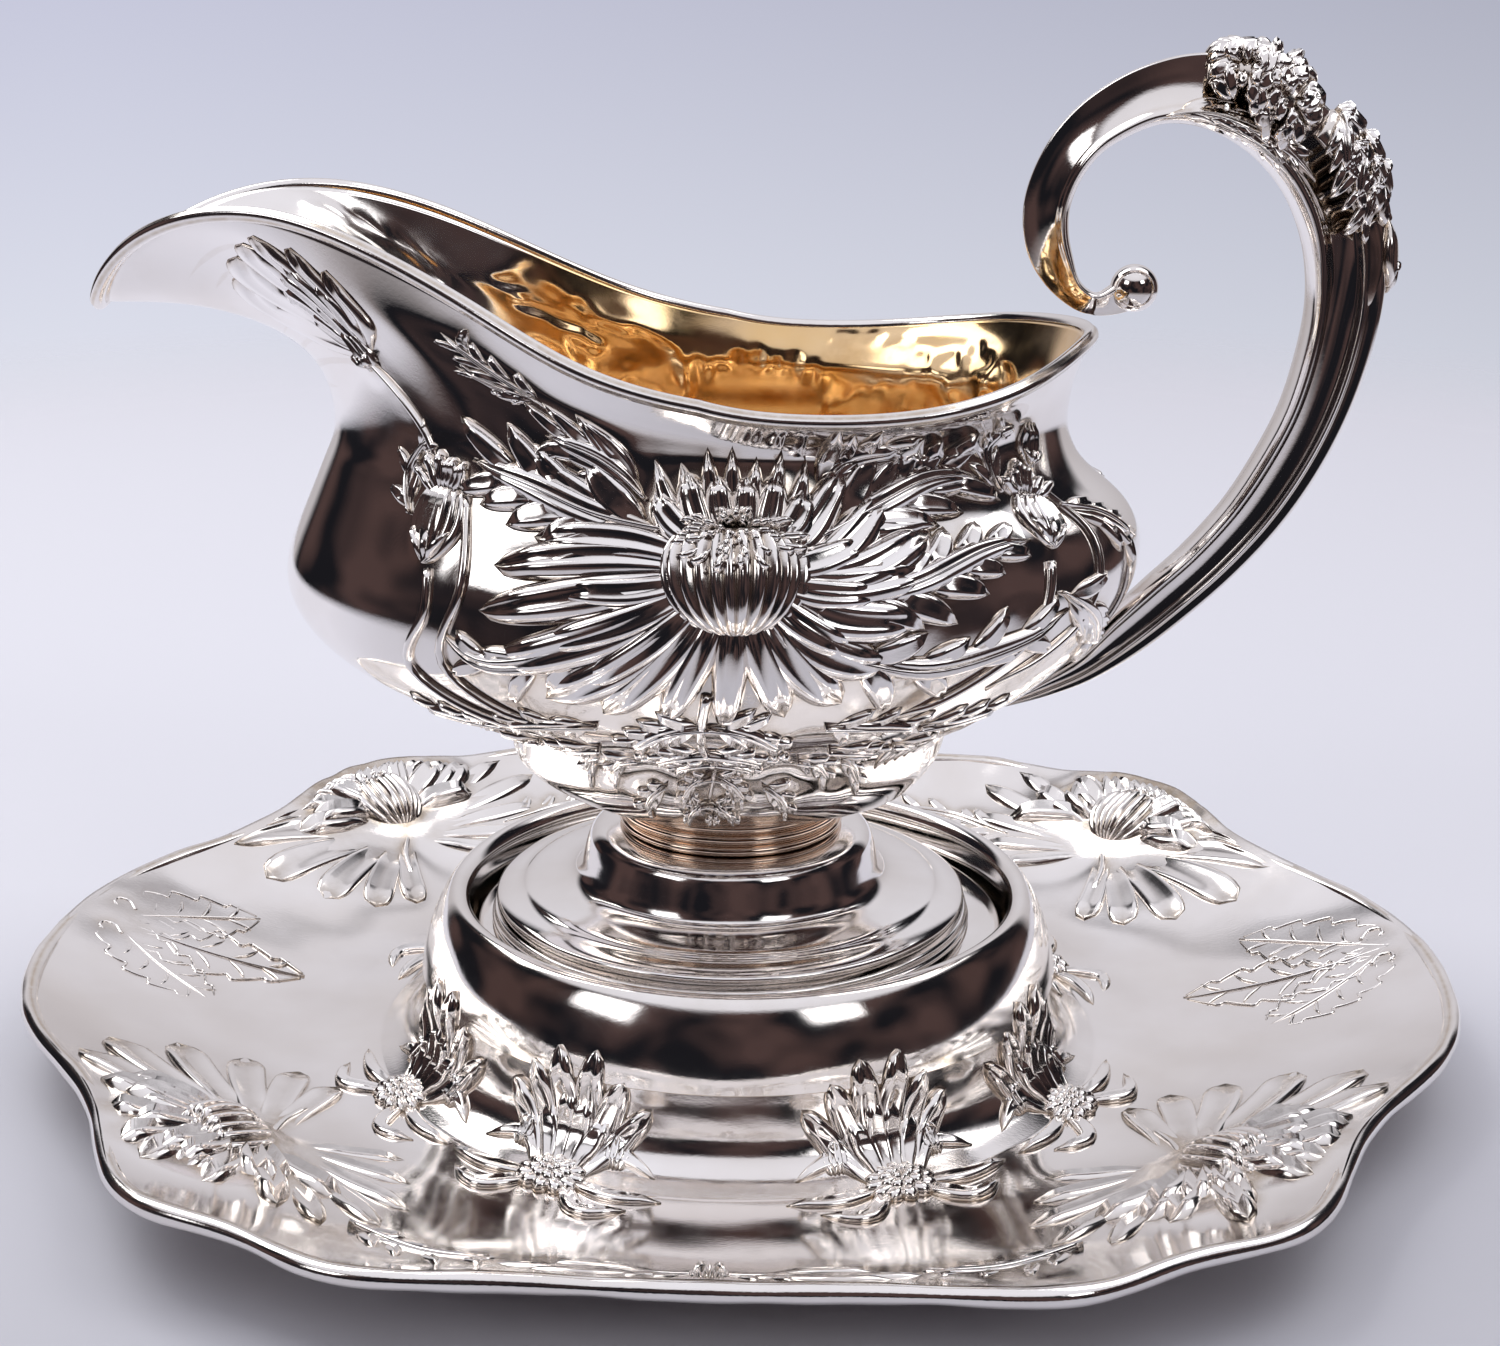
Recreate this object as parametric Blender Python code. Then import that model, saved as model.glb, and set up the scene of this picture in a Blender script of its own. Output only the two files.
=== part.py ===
"""Silver sauce boat on its lobed stand, as the separate pieces a silversmith solders together.

Frame: origin at the centre of the stand's flat underside, +X toward the handle (the spout is at -X),
+Z up. All dimensions below are millimetres; MM turns them into metres.
"""
import bpy
import bmesh
import math
from mathutils import Vector

MM = 0.001
GAP = 0.3                    # clearance between soldered neighbours
AROUND = 40                  # facets round the turned pieces

# Stand: lobed tray outline
TRAY_HALF_LENGTH = 126.2
TRAY_HALF_WIDTH = 113.0
LOBE_HEIGHT = 15.4           # corner lobes, a broad swelling with a flattened top
LOBE_ANGLE = 56.0
LOBE_SPREAD = 14.0
LOBE_FLAT = 10.0
LOBE_FLAT_SPREAD = 8.0
NOTCH_DEPTH = 5.2            # dips between the end lobes and the corner lobes
NOTCH_ANGLE = 29.0
NOTCH_SPREAD = 12.0
TRAY_SHEET = 1.1
TRAY_RIM_Z = 14.0
TRAY_WIRE_RADIUS = 1.6
TRAY_AROUND = 72
COVE = [(53.9, 15.0), (53.6, 10.0), (54.9, 5.2), (57.8, 2.2), (62.0, 1.1)]
BASIN_RADIUS = 74.0

# Stand: raised well that holds the foot of the boat
WELL_OUTER = 54.2
WELL_CREST_RADIUS = 50.8
WELL_CREST_Z = 26.2
WELL_INNER = 47.4
WELL_WALL = 1.0
WELL_FLOOR_RADIUS = 46.4
WELL_FLOOR_Z = 23.2

# Boat: its foot stands a little toward the spout inside the well's clearance
FOOT_X = -1.6
BOWL_SHEET = 1.2
BOWL_AROUND = 48
BOWL_MIDDLE_X = -5.0
NECK_STEPS = 5               # rings of skin between the neck and the rim
RIM_WIRE_RADIUS = 1.2
FOOT_RADIUS = 41.3
FOOT_SHEET = 1.2
COLLAR_RADIUS = 21.3
COLLAR_BORE = 16.5
REED_HEIGHT = 1.9

# Bowl levels, bottom to neck: height, spout-side reach, handle-side reach, half width
BOWL_LEVELS = [
    (46.6, -21.9, 18.7, 20.3),
    (47.0, -27.5, 27.0, 22.0),
    (50.0, -34.5, 31.5, 27.0),
    (55.0, -40.8, 35.5, 33.0),
    (60.0, -43.4, 38.6, 37.0),
    (62.5, -47.6, 42.0, 40.0),
    (66.0, -54.5, 46.8, 44.0),
    (72.0, -66.5, 54.0, 49.0),
    (79.0, -74.8, 61.2, 52.0),
    (86.0, -77.2, 65.6, 53.0),
    (93.0, -75.6, 66.9, 52.0),
    (100.0, -72.6, 63.8, 48.6),
    (106.0, -70.0, 57.0, 45.4),
    (113.0, -68.3, 53.9, 43.3),
]

# Rim wire's middle line, half of it, by angle from the handle: angle, half width, height
RIM_REACH_HANDLE = 57.0
RIM_REACH_SPOUT = -107.6
RIM = [
    (0, 0.0, 127.4),
    (20, 16.0, 126.6),
    (36, 32.5, 124.4),
    (55, 44.0, 121.5),
    (74, 46.2, 120.4),
    (90, 45.8, 122.3),
    (100, 43.2, 126.8),
    (109, 36.6, 134.1),
    (119, 31.0, 141.9),
    (130, 25.0, 146.7),
    (142, 19.5, 146.2),
    (153, 13.7, 142.0),
    (165, 7.3, 135.4),
    (180, 0.0, 129.8),
]

# Handle side outline, scroll end to bowl: outer edge x, z, inner edge x, z, half thickness
HANDLE = [
    (60.3, 130.5, 59.9, 133.4, 1.6),
    (57.0, 130.2, 57.4, 133.9, 1.9),
    (53.3, 131.6, 54.9, 135.8, 2.4),
    (49.1, 135.2, 53.6, 139.6, 3.0),
    (46.0, 140.4, 52.7, 143.8, 3.5),
    (45.1, 147.0, 52.8, 148.0, 4.0),
    (46.4, 153.2, 54.4, 152.4, 4.3),
    (49.6, 159.4, 57.2, 156.2, 4.6),
    (54.6, 164.8, 61.2, 158.9, 4.8),
    (61.9, 169.4, 66.3, 160.9, 5.0),
    (70.5, 172.0, 71.4, 160.9, 5.2),
    (79.0, 171.6, 76.6, 159.2, 5.4),
    (87.5, 168.0, 81.8, 155.9, 5.6),
    (94.8, 162.2, 86.2, 151.2, 5.8),
    (100.2, 154.4, 89.4, 145.4, 6.0),
    (103.4, 145.6, 91.3, 139.0, 6.0),
    (104.4, 136.5, 91.9, 131.8, 6.0),
    (103.2, 126.0, 91.0, 124.0, 6.0),
    (100.3, 115.0, 88.9, 115.4, 5.8),
    (96.0, 104.8, 85.4, 107.4, 5.5),
    (90.3, 95.4, 80.6, 99.0, 5.2),
    (83.2, 86.8, 74.4, 91.2, 5.0),
    (75.0, 78.8, 68.2, 85.0, 4.8),
    (67.5, 72.6, 62.9, 79.4, 4.6),
    (60.0, 68.0, 57.4, 73.0, 4.4),
    (53.4, 65.2, 51.2, 68.4, 3.8),
    (47.6, 63.4, 46.8, 65.0, 3.0),
]
HANDLE_WALL = 0.9
BALL_CENTRE = (63.8, 134.7)
BALL_RADIUS = 3.9

# Cast ornaments on the handle: name, centre x, z, axis angle, half length, half depth, half width, petals
ORNAMENTS = [
    ("handle_flower", 87.0, 166.6, -32.0, 9.4, 6.4, 8.0, 12),
    ("handle_leaf_cluster", 101.4, 151.0, -68.0, 9.2, 5.2, 6.6, 8),
    ("handle_bud", 104.0, 137.0, -87.0, 4.4, 2.8, 3.4, 6),
    ("handle_inner_leaf", 82.2, 155.2, -42.0, 9.5, 3.0, 5.0, 6),
]

SILVER = (0.93, 0.91, 0.88, 1.0)
SILVER_CAST = (0.90, 0.88, 0.85, 1.0)


def clear_scene():
    for thing in list(bpy.data.objects):
        bpy.data.objects.remove(thing, do_unlink=True)


def silver(name, colour, roughness):
    material = bpy.data.materials.new(name)
    material.use_nodes = True
    shader = material.node_tree.nodes["Principled BSDF"]
    shader.inputs["Base Color"].default_value = colour
    shader.inputs["Metallic"].default_value = 1.0
    shader.inputs["Roughness"].default_value = roughness
    return material


def add_object(name, points, faces, parent=None, colour=SILVER, roughness=0.12):
    """A mesh object from points in millimetres, faces turned outward, shaded smooth."""
    mesh = bpy.data.meshes.new(name)
    mesh.from_pydata([(x * MM, y * MM, z * MM) for x, y, z in points], [], faces)
    bm = bmesh.new()
    bm.from_mesh(mesh)
    bmesh.ops.recalc_face_normals(bm, faces=bm.faces)
    bm.to_mesh(mesh)
    bm.free()
    mesh.shade_smooth()
    mesh.set_sharp_from_angle(angle=math.radians(35.0))
    thing = bpy.data.objects.new(name, mesh)
    bpy.context.collection.objects.link(thing)
    mesh.materials.append(silver(name, colour, roughness))
    thing.parent = parent
    return thing


def smooth(table, position):
    """Catmull-Rom value of a table of rows at a position between its rows."""
    last = len(table) - 1
    row = min(int(position), last - 1)
    t = position - row
    rows = [table[max(0, min(last, row + step))] for step in (-1, 0, 1, 2)]
    values = []
    for a, b, c, d in zip(*rows):
        linear = (c - a) * t
        square = (2 * a - 5 * b + 4 * c - d) * t * t
        cubic = (3 * b - a - 3 * c + d) * t ** 3
        values.append(0.5 * (2 * b + linear + square + cubic))
    return values


def grid_faces(rows, columns, close_rows=False):
    """Quads between rings of points; each ring is closed, and the rings too when asked."""
    faces = []
    for r in range(rows if close_rows else rows - 1):
        low = r * columns
        high = ((r + 1) % rows) * columns
        for c in range(columns):
            after = (c + 1) % columns
            faces.append((low + c, low + after, high + after, high + c))
    return faces


def loft(name, rings, closed=False, **looks):
    """Closed rings of points skinned together, with flat ends unless they join up."""
    columns = len(rings[0])
    points = [point for ring in rings for point in ring]
    faces = grid_faces(len(rings), columns, closed)
    if not closed:
        faces.append(tuple(range(columns)))
        faces.append(tuple(range(len(points) - columns, len(points))))
    return add_object(name, points, faces, **looks)


def turned(name, profile, centre_x=0.0, **looks):
    """A closed profile of radius and height turned about a vertical axis at centre_x."""
    rings = []
    for step in range(AROUND):
        angle = 2 * math.pi * step / AROUND
        ring = [(centre_x + r * math.cos(angle), r * math.sin(angle), z) for r, z in profile]
        rings.append(ring)
    return loft(name, rings, closed=True, **looks)


def arc(centre, radius, start, end, steps):
    """Points on a circular arc, angles in degrees."""
    points = []
    for step in range(steps + 1):
        angle = math.radians(start + (end - start) * step / steps)
        points.append((centre[0] + radius * math.cos(angle), centre[1] + radius * math.sin(angle)))
    return points


# ---------------------------------------------------------------- stand

def tray_reach(angle):
    """Radius of the stand's outline: an oval with four corner lobes."""
    folded = abs((math.degrees(angle) + 90.0) % 180.0 - 90.0)
    oval = 1.0 / math.hypot(math.cos(angle) / TRAY_HALF_LENGTH, math.sin(angle) / TRAY_HALF_WIDTH)
    lobe = LOBE_HEIGHT * math.exp(-((folded - LOBE_ANGLE) / LOBE_SPREAD) ** 2)
    flat = LOBE_FLAT * math.exp(-((folded - LOBE_ANGLE) / LOBE_FLAT_SPREAD) ** 2)
    notch = NOTCH_DEPTH * math.exp(-((folded - NOTCH_ANGLE) / NOTCH_SPREAD) ** 2)
    return oval + lobe - flat - notch


def tray_profile(angle):
    """Radial section of the tray sheet: up over the top surface, back along the underside."""
    edge = tray_reach(angle) - 2 * TRAY_WIRE_RADIUS - GAP
    top = list(COVE)
    for step in range(6):
        share = step / 5
        radius = BASIN_RADIUS + (edge - BASIN_RADIUS) * share
        top.append((radius, COVE[-1][1] + (TRAY_RIM_Z + TRAY_SHEET / 2 - COVE[-1][1]) * share ** 1.7))
    under = [(r, max(0.0, z - TRAY_SHEET)) for r, z in top[4:]]
    cove_inside = [(r - TRAY_SHEET, z) for r, z in COVE[:3]]
    cove_foot = (COVE[3][0] - 0.9, 0.0)
    return top + under[::-1] + [cove_foot] + cove_inside[::-1]


def make_stand():
    rings = []
    wire = []
    for step in range(TRAY_AROUND):
        angle = 2 * math.pi * step / TRAY_AROUND
        c = math.cos(angle)
        s = math.sin(angle)
        rings.append([(r * c, r * s, z) for r, z in tray_profile(angle)])
        middle = (tray_reach(angle) - TRAY_WIRE_RADIUS, TRAY_RIM_Z)
        bead = arc(middle, TRAY_WIRE_RADIUS, 0, 300, 5)
        wire.append([(r * c, r * s, z) for r, z in bead])
    loft("tray", rings, closed=True)
    loft("tray_rim_wire", wire, closed=True)

    crest = (WELL_CREST_RADIUS, WELL_CREST_Z - (WELL_OUTER - WELL_CREST_RADIUS))
    outer = arc(crest, WELL_OUTER - WELL_CREST_RADIUS, 0, 180, 6)
    inner = arc(crest, WELL_OUTER - WELL_CREST_RADIUS - WELL_WALL, 180, 0, 4)
    bottom = COVE[0][1] + GAP
    ledge = 18.0
    profile = [(WELL_OUTER, bottom)] + outer + [
        (WELL_INNER, ledge + WELL_WALL),
        (WELL_INNER - 5.0, ledge + WELL_WALL),
        (WELL_INNER - 5.0, ledge),
        (WELL_INNER + WELL_WALL, ledge),
    ] + inner + [(WELL_OUTER - WELL_WALL, bottom)]
    turned("well_ring", profile)

    skirt = ledge + WELL_WALL + GAP
    radius = WELL_FLOOR_RADIUS
    floor = [(0.4, WELL_FLOOR_Z), (radius - 1.2, WELL_FLOOR_Z), (radius - 0.3, WELL_FLOOR_Z - 0.4),
             (radius, WELL_FLOOR_Z - 1.3), (radius, skirt), (radius - WELL_WALL, skirt),
             (radius - WELL_WALL, WELL_FLOOR_Z - WELL_WALL - 0.6), (0.4, WELL_FLOOR_Z - WELL_WALL - 0.6)]
    turned("well_floor", floor)


# ---------------------------------------------------------------- boat

def bowl_level(index, angle):
    """A point of the bowl's outer skin on one of its levels, below the neck."""
    height, spout, handle, half_width = BOWL_LEVELS[index]
    middle = FOOT_X if index == 0 else BOWL_MIDDLE_X
    reach = handle - middle if math.cos(angle) > 0 else middle - spout
    return Vector((middle + reach * math.cos(angle), half_width * math.sin(angle), height))


def rim_point(angle):
    """The rim wire's middle line, angle 0 at the handle and pi at the spout's tip."""
    turn = math.degrees(angle) % 360.0
    side = 1.0 if turn <= 180.0 else -1.0
    turn = turn if turn <= 180.0 else 360.0 - turn
    row = max(i for i in range(len(RIM)) if RIM[i][0] <= turn)
    row = min(row, len(RIM) - 2)
    share = (turn - RIM[row][0]) / (RIM[row + 1][0] - RIM[row][0])
    _, half_width, height = smooth(RIM, row + share)
    reach = RIM_REACH_HANDLE - BOWL_MIDDLE_X if turn < 90 else BOWL_MIDDLE_X - RIM_REACH_SPOUT
    return Vector((BOWL_MIDDLE_X + reach * math.cos(angle), side * max(half_width, 0.0), height))


def neck_curve(angle, share):
    """From the neck up to the rim; at the spout the skin sweeps out into a long lip."""
    neck = bowl_level(len(BOWL_LEVELS) - 1, angle)
    rim = rim_point(angle)
    lip = max(0.0, min(1.0, (-math.cos(angle) - 0.5) / 0.5))
    lip = lip * lip * (3 - 2 * lip)
    rise = 0.45 * (rim.z - neck.z)
    inward = Vector((-math.cos(angle), -math.sin(angle), 0)) * 2.0
    first = neck + Vector((0, 0, rise + 4.0 * lip))
    plain = rim + inward - Vector((0, 0, rise))
    swept = rim + Vector((23.0, 0, 1.5))
    second = plain.lerp(swept, lip)
    edge = rim - (rim - second).normalized() * (RIM_WIRE_RADIUS + 3 * GAP)
    back = 1 - share
    return (back ** 3 * neck + 3 * back * back * share * first
            + 3 * back * share * share * second + share ** 3 * edge)


def bowl_skin():
    """Rings of the bowl's outer skin from the flat bottom to the rim."""
    angles = [2 * math.pi * step / BOWL_AROUND for step in range(BOWL_AROUND)]
    rings = []
    for index in range(len(BOWL_LEVELS)):
        rings.append([bowl_level(index, angle) for angle in angles])
    for step in range(1, NECK_STEPS + 1):
        rings.append([neck_curve(angle, step / NECK_STEPS) for angle in angles])
    return rings


def inside_of(rings, thickness):
    """The same rings moved inward along the skin's normals."""
    count = len(rings)
    columns = len(rings[0])
    moved = []
    for r in range(count):
        ring = []
        for c in range(columns):
            around = rings[r][(c + 1) % columns] - rings[r][c - 1]
            up = rings[min(r + 1, count - 1)][c] - rings[max(r - 1, 0)][c]
            normal = around.cross(up).normalized()
            if r == 0:
                normal = Vector((0, 0, -1))
            ring.append(rings[r][c] - normal * thickness)
        moved.append(ring)
    return moved


def make_bowl(boat):
    outer = bowl_skin()
    inner = inside_of(outer, BOWL_SHEET)
    inner[1] = [point.copy() for point in inner[1]]
    for point in inner[1]:
        point.z = max(point.z, inner[0][0].z + 0.2)
    rings = outer + inner[::-1]
    points = [tuple(point) for ring in rings for point in ring]
    faces = grid_faces(len(rings), BOWL_AROUND)
    for centre_z, first in ((outer[0][0].z, 0), (inner[0][0].z, len(points) - BOWL_AROUND)):
        points.append((FOOT_X, 0.0, centre_z))
        pole = len(points) - 1
        for c in range(BOWL_AROUND):
            faces.append((pole, first + c, first + (c + 1) % BOWL_AROUND))
    add_object("bowl", points, faces, parent=boat)

    wire = []
    for step in range(BOWL_AROUND):
        angle = 2 * math.pi * step / BOWL_AROUND
        turn = 2 * math.pi / BOWL_AROUND
        ahead = (rim_point(angle + turn) - rim_point(angle - turn)).normalized()
        side = ahead.cross(Vector((0, 0, 1))).normalized()
        top = side.cross(ahead)
        bead = arc((0.0, 0.0), RIM_WIRE_RADIUS, 0, 300, 5)
        wire.append([tuple(rim_point(angle) + side * a + top * b) for a, b in bead])
    loft("bowl_rim_wire", wire, closed=True, parent=boat)


def make_foot(boat):
    top = BOWL_LEVELS[0][0] - GAP
    collar_low = top - 3 * REED_HEIGHT
    reeds = []
    for reed in range(3):
        middle = (COLLAR_RADIUS - REED_HEIGHT / 2, collar_low + (reed + 0.5) * REED_HEIGHT)
        reeds += arc(middle, REED_HEIGHT / 2 - 0.05, -80, 80, 3)
    turned("neck_collar", reeds + [(COLLAR_BORE, top), (COLLAR_BORE, collar_low)], FOOT_X, parent=boat)

    foot_top = collar_low - GAP
    edge_low = 26.4
    outside = [(22.4, foot_top), (24.2, foot_top - 0.7), (25.5, foot_top - 2.2), (25.3, 35.0),
               (25.6, 32.4), (27.4, 31.2), (31.0, 30.6), (39.6, 30.0), (40.8, 29.3),
               (FOOT_RADIUS, 28.2), (FOOT_RADIUS, edge_low)]
    inside = [(FOOT_RADIUS - FOOT_SHEET, edge_low), (FOOT_RADIUS - FOOT_SHEET, 28.0), (39.0, 28.8),
              (31.0, 29.4), (26.8, 30.0), (24.4, 31.8), (24.1, 35.0), (24.2, foot_top - 2.6),
              (23.5, foot_top - 1.8), (22.0, foot_top - FOOT_SHEET), (COLLAR_BORE, foot_top - FOOT_SHEET),
              (COLLAR_BORE, foot_top)]
    turned("foot", outside + inside, FOOT_X, parent=boat)

    stand_off = WELL_FLOOR_Z + GAP
    base = [(FOOT_RADIUS - 3.0, edge_low - GAP), (FOOT_RADIUS, edge_low - GAP),
            (FOOT_RADIUS + 0.5, edge_low - 1.0), (FOOT_RADIUS + 0.2, edge_low - 1.5),
            (FOOT_RADIUS + 0.8, edge_low - 2.0), (FOOT_RADIUS + 0.8, stand_off), (FOOT_RADIUS - 3.0, stand_off)]
    turned("foot_base_ring", base, FOOT_X, parent=boat)


# ---------------------------------------------------------------- handle

def handle_place(station, along, side, extra=0.0):
    """A point of the handle's section: along 1 is the outer ridge, -1 the inner edge."""
    outer = Vector((station[0], 0, station[1]))
    inner = Vector((station[2], 0, station[3]))
    depth = (outer - inner).normalized()
    middle = (outer + inner) / 2
    reach = (outer - inner).length / 2 + extra
    return tuple(middle + depth * reach * along + Vector((0, side, 0)))


def half_section(station, sign):
    """C-shaped section of one stamped half, open along the seam."""
    thickness = station[4]
    reach = math.hypot(station[0] - station[2], station[1] - station[3]) / 2
    wall = min(HANDLE_WALL, 0.35 * reach)
    shape = [(1.0, GAP / 2), (0.5, 0.62 * thickness), (-0.15, thickness), (-0.72, 0.8 * thickness), (-1.0, GAP / 2)]
    inner_shape = [(-1.0 + wall / reach, GAP / 2), (-0.66 + 0.4 * wall / reach, 0.8 * thickness - wall),
                   (-0.12, thickness - wall), (0.4, 0.62 * thickness - 0.9 * wall), (1.0 - 1.6 * wall / reach, GAP / 2)]
    section = []
    for along, side in shape + inner_shape:
        section.append(handle_place(station, along, sign * max(side, GAP / 2)))
    return section


def make_handle(boat):
    for name, sign in (("handle_half_back", 1.0), ("handle_half_front", -1.0)):
        loft(name, [half_section(station, sign) for station in HANDLE],
             parent=boat, colour=SILVER_CAST)

    envelope = []
    for station in HANDLE:
        wide = station[4] + GAP
        shape = [(1.0, 0.3), (0.5, 0.66 * wide), (-0.15, wide), (-0.75, 0.85 * wide), (-1.0, 0.3)]
        full = shape + [(along, -side) for along, side in shape[::-1]]
        envelope.append([handle_place(station, along, side, GAP) for along, side in full])
    cutter = loft("handle_clearance", envelope, parent=boat)
    cutter.hide_render = True
    cutter.display_type = "WIRE"

    for name, x, z, tilt, length, depth, width, petals in ORNAMENTS:
        make_ornament(name, (x, z), math.radians(tilt), (length, depth, width), petals, cutter, boat)

    bands = [(math.sin(math.pi * k / 8), -math.cos(math.pi * k / 8)) for k in range(1, 8)]
    points = []
    for radius, height in bands:
        for step in range(12):
            turn = 2 * math.pi * step / 12
            points.append((BALL_CENTRE[0] + BALL_RADIUS * height,
                           BALL_RADIUS * radius * math.cos(turn),
                           BALL_CENTRE[1] + BALL_RADIUS * radius * math.sin(turn)))
    loft("handle_scroll_ball", [points[k * 12:(k + 1) * 12] for k in range(len(bands))],
         parent=boat, colour=SILVER_CAST)


def make_ornament(name, centre, tilt, size, petals, cutter, boat):
    """A fluted cast boss wrapped round the handle, cleared where the handle runs through it."""
    length, depth, width = size
    along = Vector((math.cos(tilt), 0, math.sin(tilt)))
    out = Vector((-math.sin(tilt), 0, math.cos(tilt)))
    across = Vector((0, 1, 0))
    middle = Vector((centre[0], 0, centre[1]))
    columns = petals * 2
    rings = []
    for band in range(1, 8):
        latitude = math.pi * band / 8
        ring = []
        for step in range(columns):
            turn = 2 * math.pi * step / columns
            flute = 1.0 + 0.05 * math.cos(petals * turn) * math.sin(latitude)
            place = middle - along * length * math.cos(latitude)
            place += out * depth * math.sin(latitude) * math.cos(turn) * flute
            place += across * width * math.sin(latitude) * math.sin(turn) * flute
            ring.append(tuple(place))
        rings.append(ring)
    boss = loft(name, rings, parent=boat, colour=SILVER_CAST)
    clearing = boss.modifiers.new("clearance", "BOOLEAN")
    clearing.operation = "DIFFERENCE"
    clearing.solver = "EXACT"
    clearing.object = cutter


def main():
    clear_scene()
    make_stand()
    boat = bpy.data.objects.new("boat", None)
    bpy.context.collection.objects.link(boat)
    make_bowl(boat)
    make_foot(boat)
    make_handle(boat)


main()
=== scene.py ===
"""Silver sauce boat on its lobed stand: the visible silver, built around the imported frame.

Lengths in the design tables are millimetres and MM turns them into metres. Angles go round +Z from +X,
so the handle is at 0, the spout at 180 and the front at 270 degrees. Every sheet is a dense skin, and the
chased flowers, leaves and stems are closed ribbons of silver that sink a little way into it.
"""
import math

import bpy
import numpy as np
from mathutils import Matrix, Vector


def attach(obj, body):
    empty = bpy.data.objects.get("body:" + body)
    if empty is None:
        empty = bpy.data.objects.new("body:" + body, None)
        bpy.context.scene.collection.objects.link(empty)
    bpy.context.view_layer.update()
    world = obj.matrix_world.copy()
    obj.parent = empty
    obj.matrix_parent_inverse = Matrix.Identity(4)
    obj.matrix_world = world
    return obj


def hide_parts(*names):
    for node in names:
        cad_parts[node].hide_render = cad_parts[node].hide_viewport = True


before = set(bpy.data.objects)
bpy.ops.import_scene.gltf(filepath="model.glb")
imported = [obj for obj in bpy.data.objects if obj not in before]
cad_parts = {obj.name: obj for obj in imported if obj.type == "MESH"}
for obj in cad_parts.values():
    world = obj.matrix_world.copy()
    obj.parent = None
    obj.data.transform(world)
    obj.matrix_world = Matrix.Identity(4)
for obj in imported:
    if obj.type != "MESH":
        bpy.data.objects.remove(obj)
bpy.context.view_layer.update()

MM = 0.001
rng = np.random.default_rng(11)

# ---------------------------------------------------------------- the design's dimensions

TRAY_HALF_LENGTH = 126.2
TRAY_HALF_WIDTH = 113.0
LOBE_HEIGHT = 15.4
LOBE_ANGLE = 56.0
LOBE_SPREAD = 14.0
LOBE_FLAT = 10.0
LOBE_FLAT_SPREAD = 8.0
NOTCH_DEPTH = 5.2
NOTCH_ANGLE = 29.0
NOTCH_SPREAD = 12.0
TRAY_SHEET = 1.1
TRAY_RIM_Z = 14.0
TRAY_WIRE_RADIUS = 1.6
TRAY_COLUMNS = 720
COVE = [(55.9, 15.2), (55.4, 11.0), (56.4, 6.0), (59.4, 2.6), (64.0, 1.1)]
BASIN_RADIUS = 74.0

WELL_OUTER = 54.2
WELL_INNER = 47.4
WELL_LEDGE_Z = 18.0
WELL_MEAN_RADIUS = 57.0         # the radius at which the cove chart measures its way round
WELL_FLOOR_RADIUS = 46.4
WELL_FLOOR_Z = 23.2

FOOT_X = -1.6
FOOT_RADIUS = 41.3
COLLAR_RADIUS = 21.3
REED_HEIGHT = 1.9
BOWL_SHEET = 1.2
BOWL_MIDDLE_X = -5.0
BELLY_Z = 86.0
RIM_COLUMNS = 600
BOWL_COLUMNS = 560
LINING_COLUMNS = 480
RIM_WIRE_RADIUS = 1.25

# Bowl levels, bottom to neck: height, spout-side reach, handle-side reach, half width
BOWL_LEVELS = [
    (46.6, -21.9, 18.7, 20.3),
    (47.0, -27.5, 27.0, 22.0),
    (50.0, -34.3, 31.2, 26.8),
    (55.0, -39.4, 34.6, 32.0),
    (60.0, -40.0, 36.2, 34.2),
    (62.5, -41.4, 38.0, 35.8),
    (66.0, -50.2, 44.6, 41.2),
    (72.0, -66.5, 54.0, 49.0),
    (79.0, -74.8, 61.2, 52.0),
    (86.0, -77.2, 65.6, 53.0),
    (93.0, -75.6, 66.9, 52.0),
    (100.0, -72.6, 63.8, 48.6),
    (106.0, -70.0, 57.0, 45.4),
    (113.0, -68.3, 53.9, 43.3),
]
RIM_REACH_HANDLE = 57.0
RIM_REACH_SPOUT = -107.6
# Rim wire's middle line, half of it: angle from the handle, half width, height
RIM = [
    (0, 0.0, 127.4),
    (20, 16.0, 126.6),
    (36, 32.5, 124.4),
    (55, 44.0, 121.5),
    (74, 46.2, 120.4),
    (90, 45.8, 122.3),
    (100, 43.2, 126.8),
    (109, 36.6, 134.1),
    (119, 31.0, 141.9),
    (130, 25.0, 146.7),
    (142, 19.5, 146.2),
    (153, 13.7, 142.0),
    (165, 7.3, 135.4),
    (180, 0.0, 129.8),
]
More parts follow.
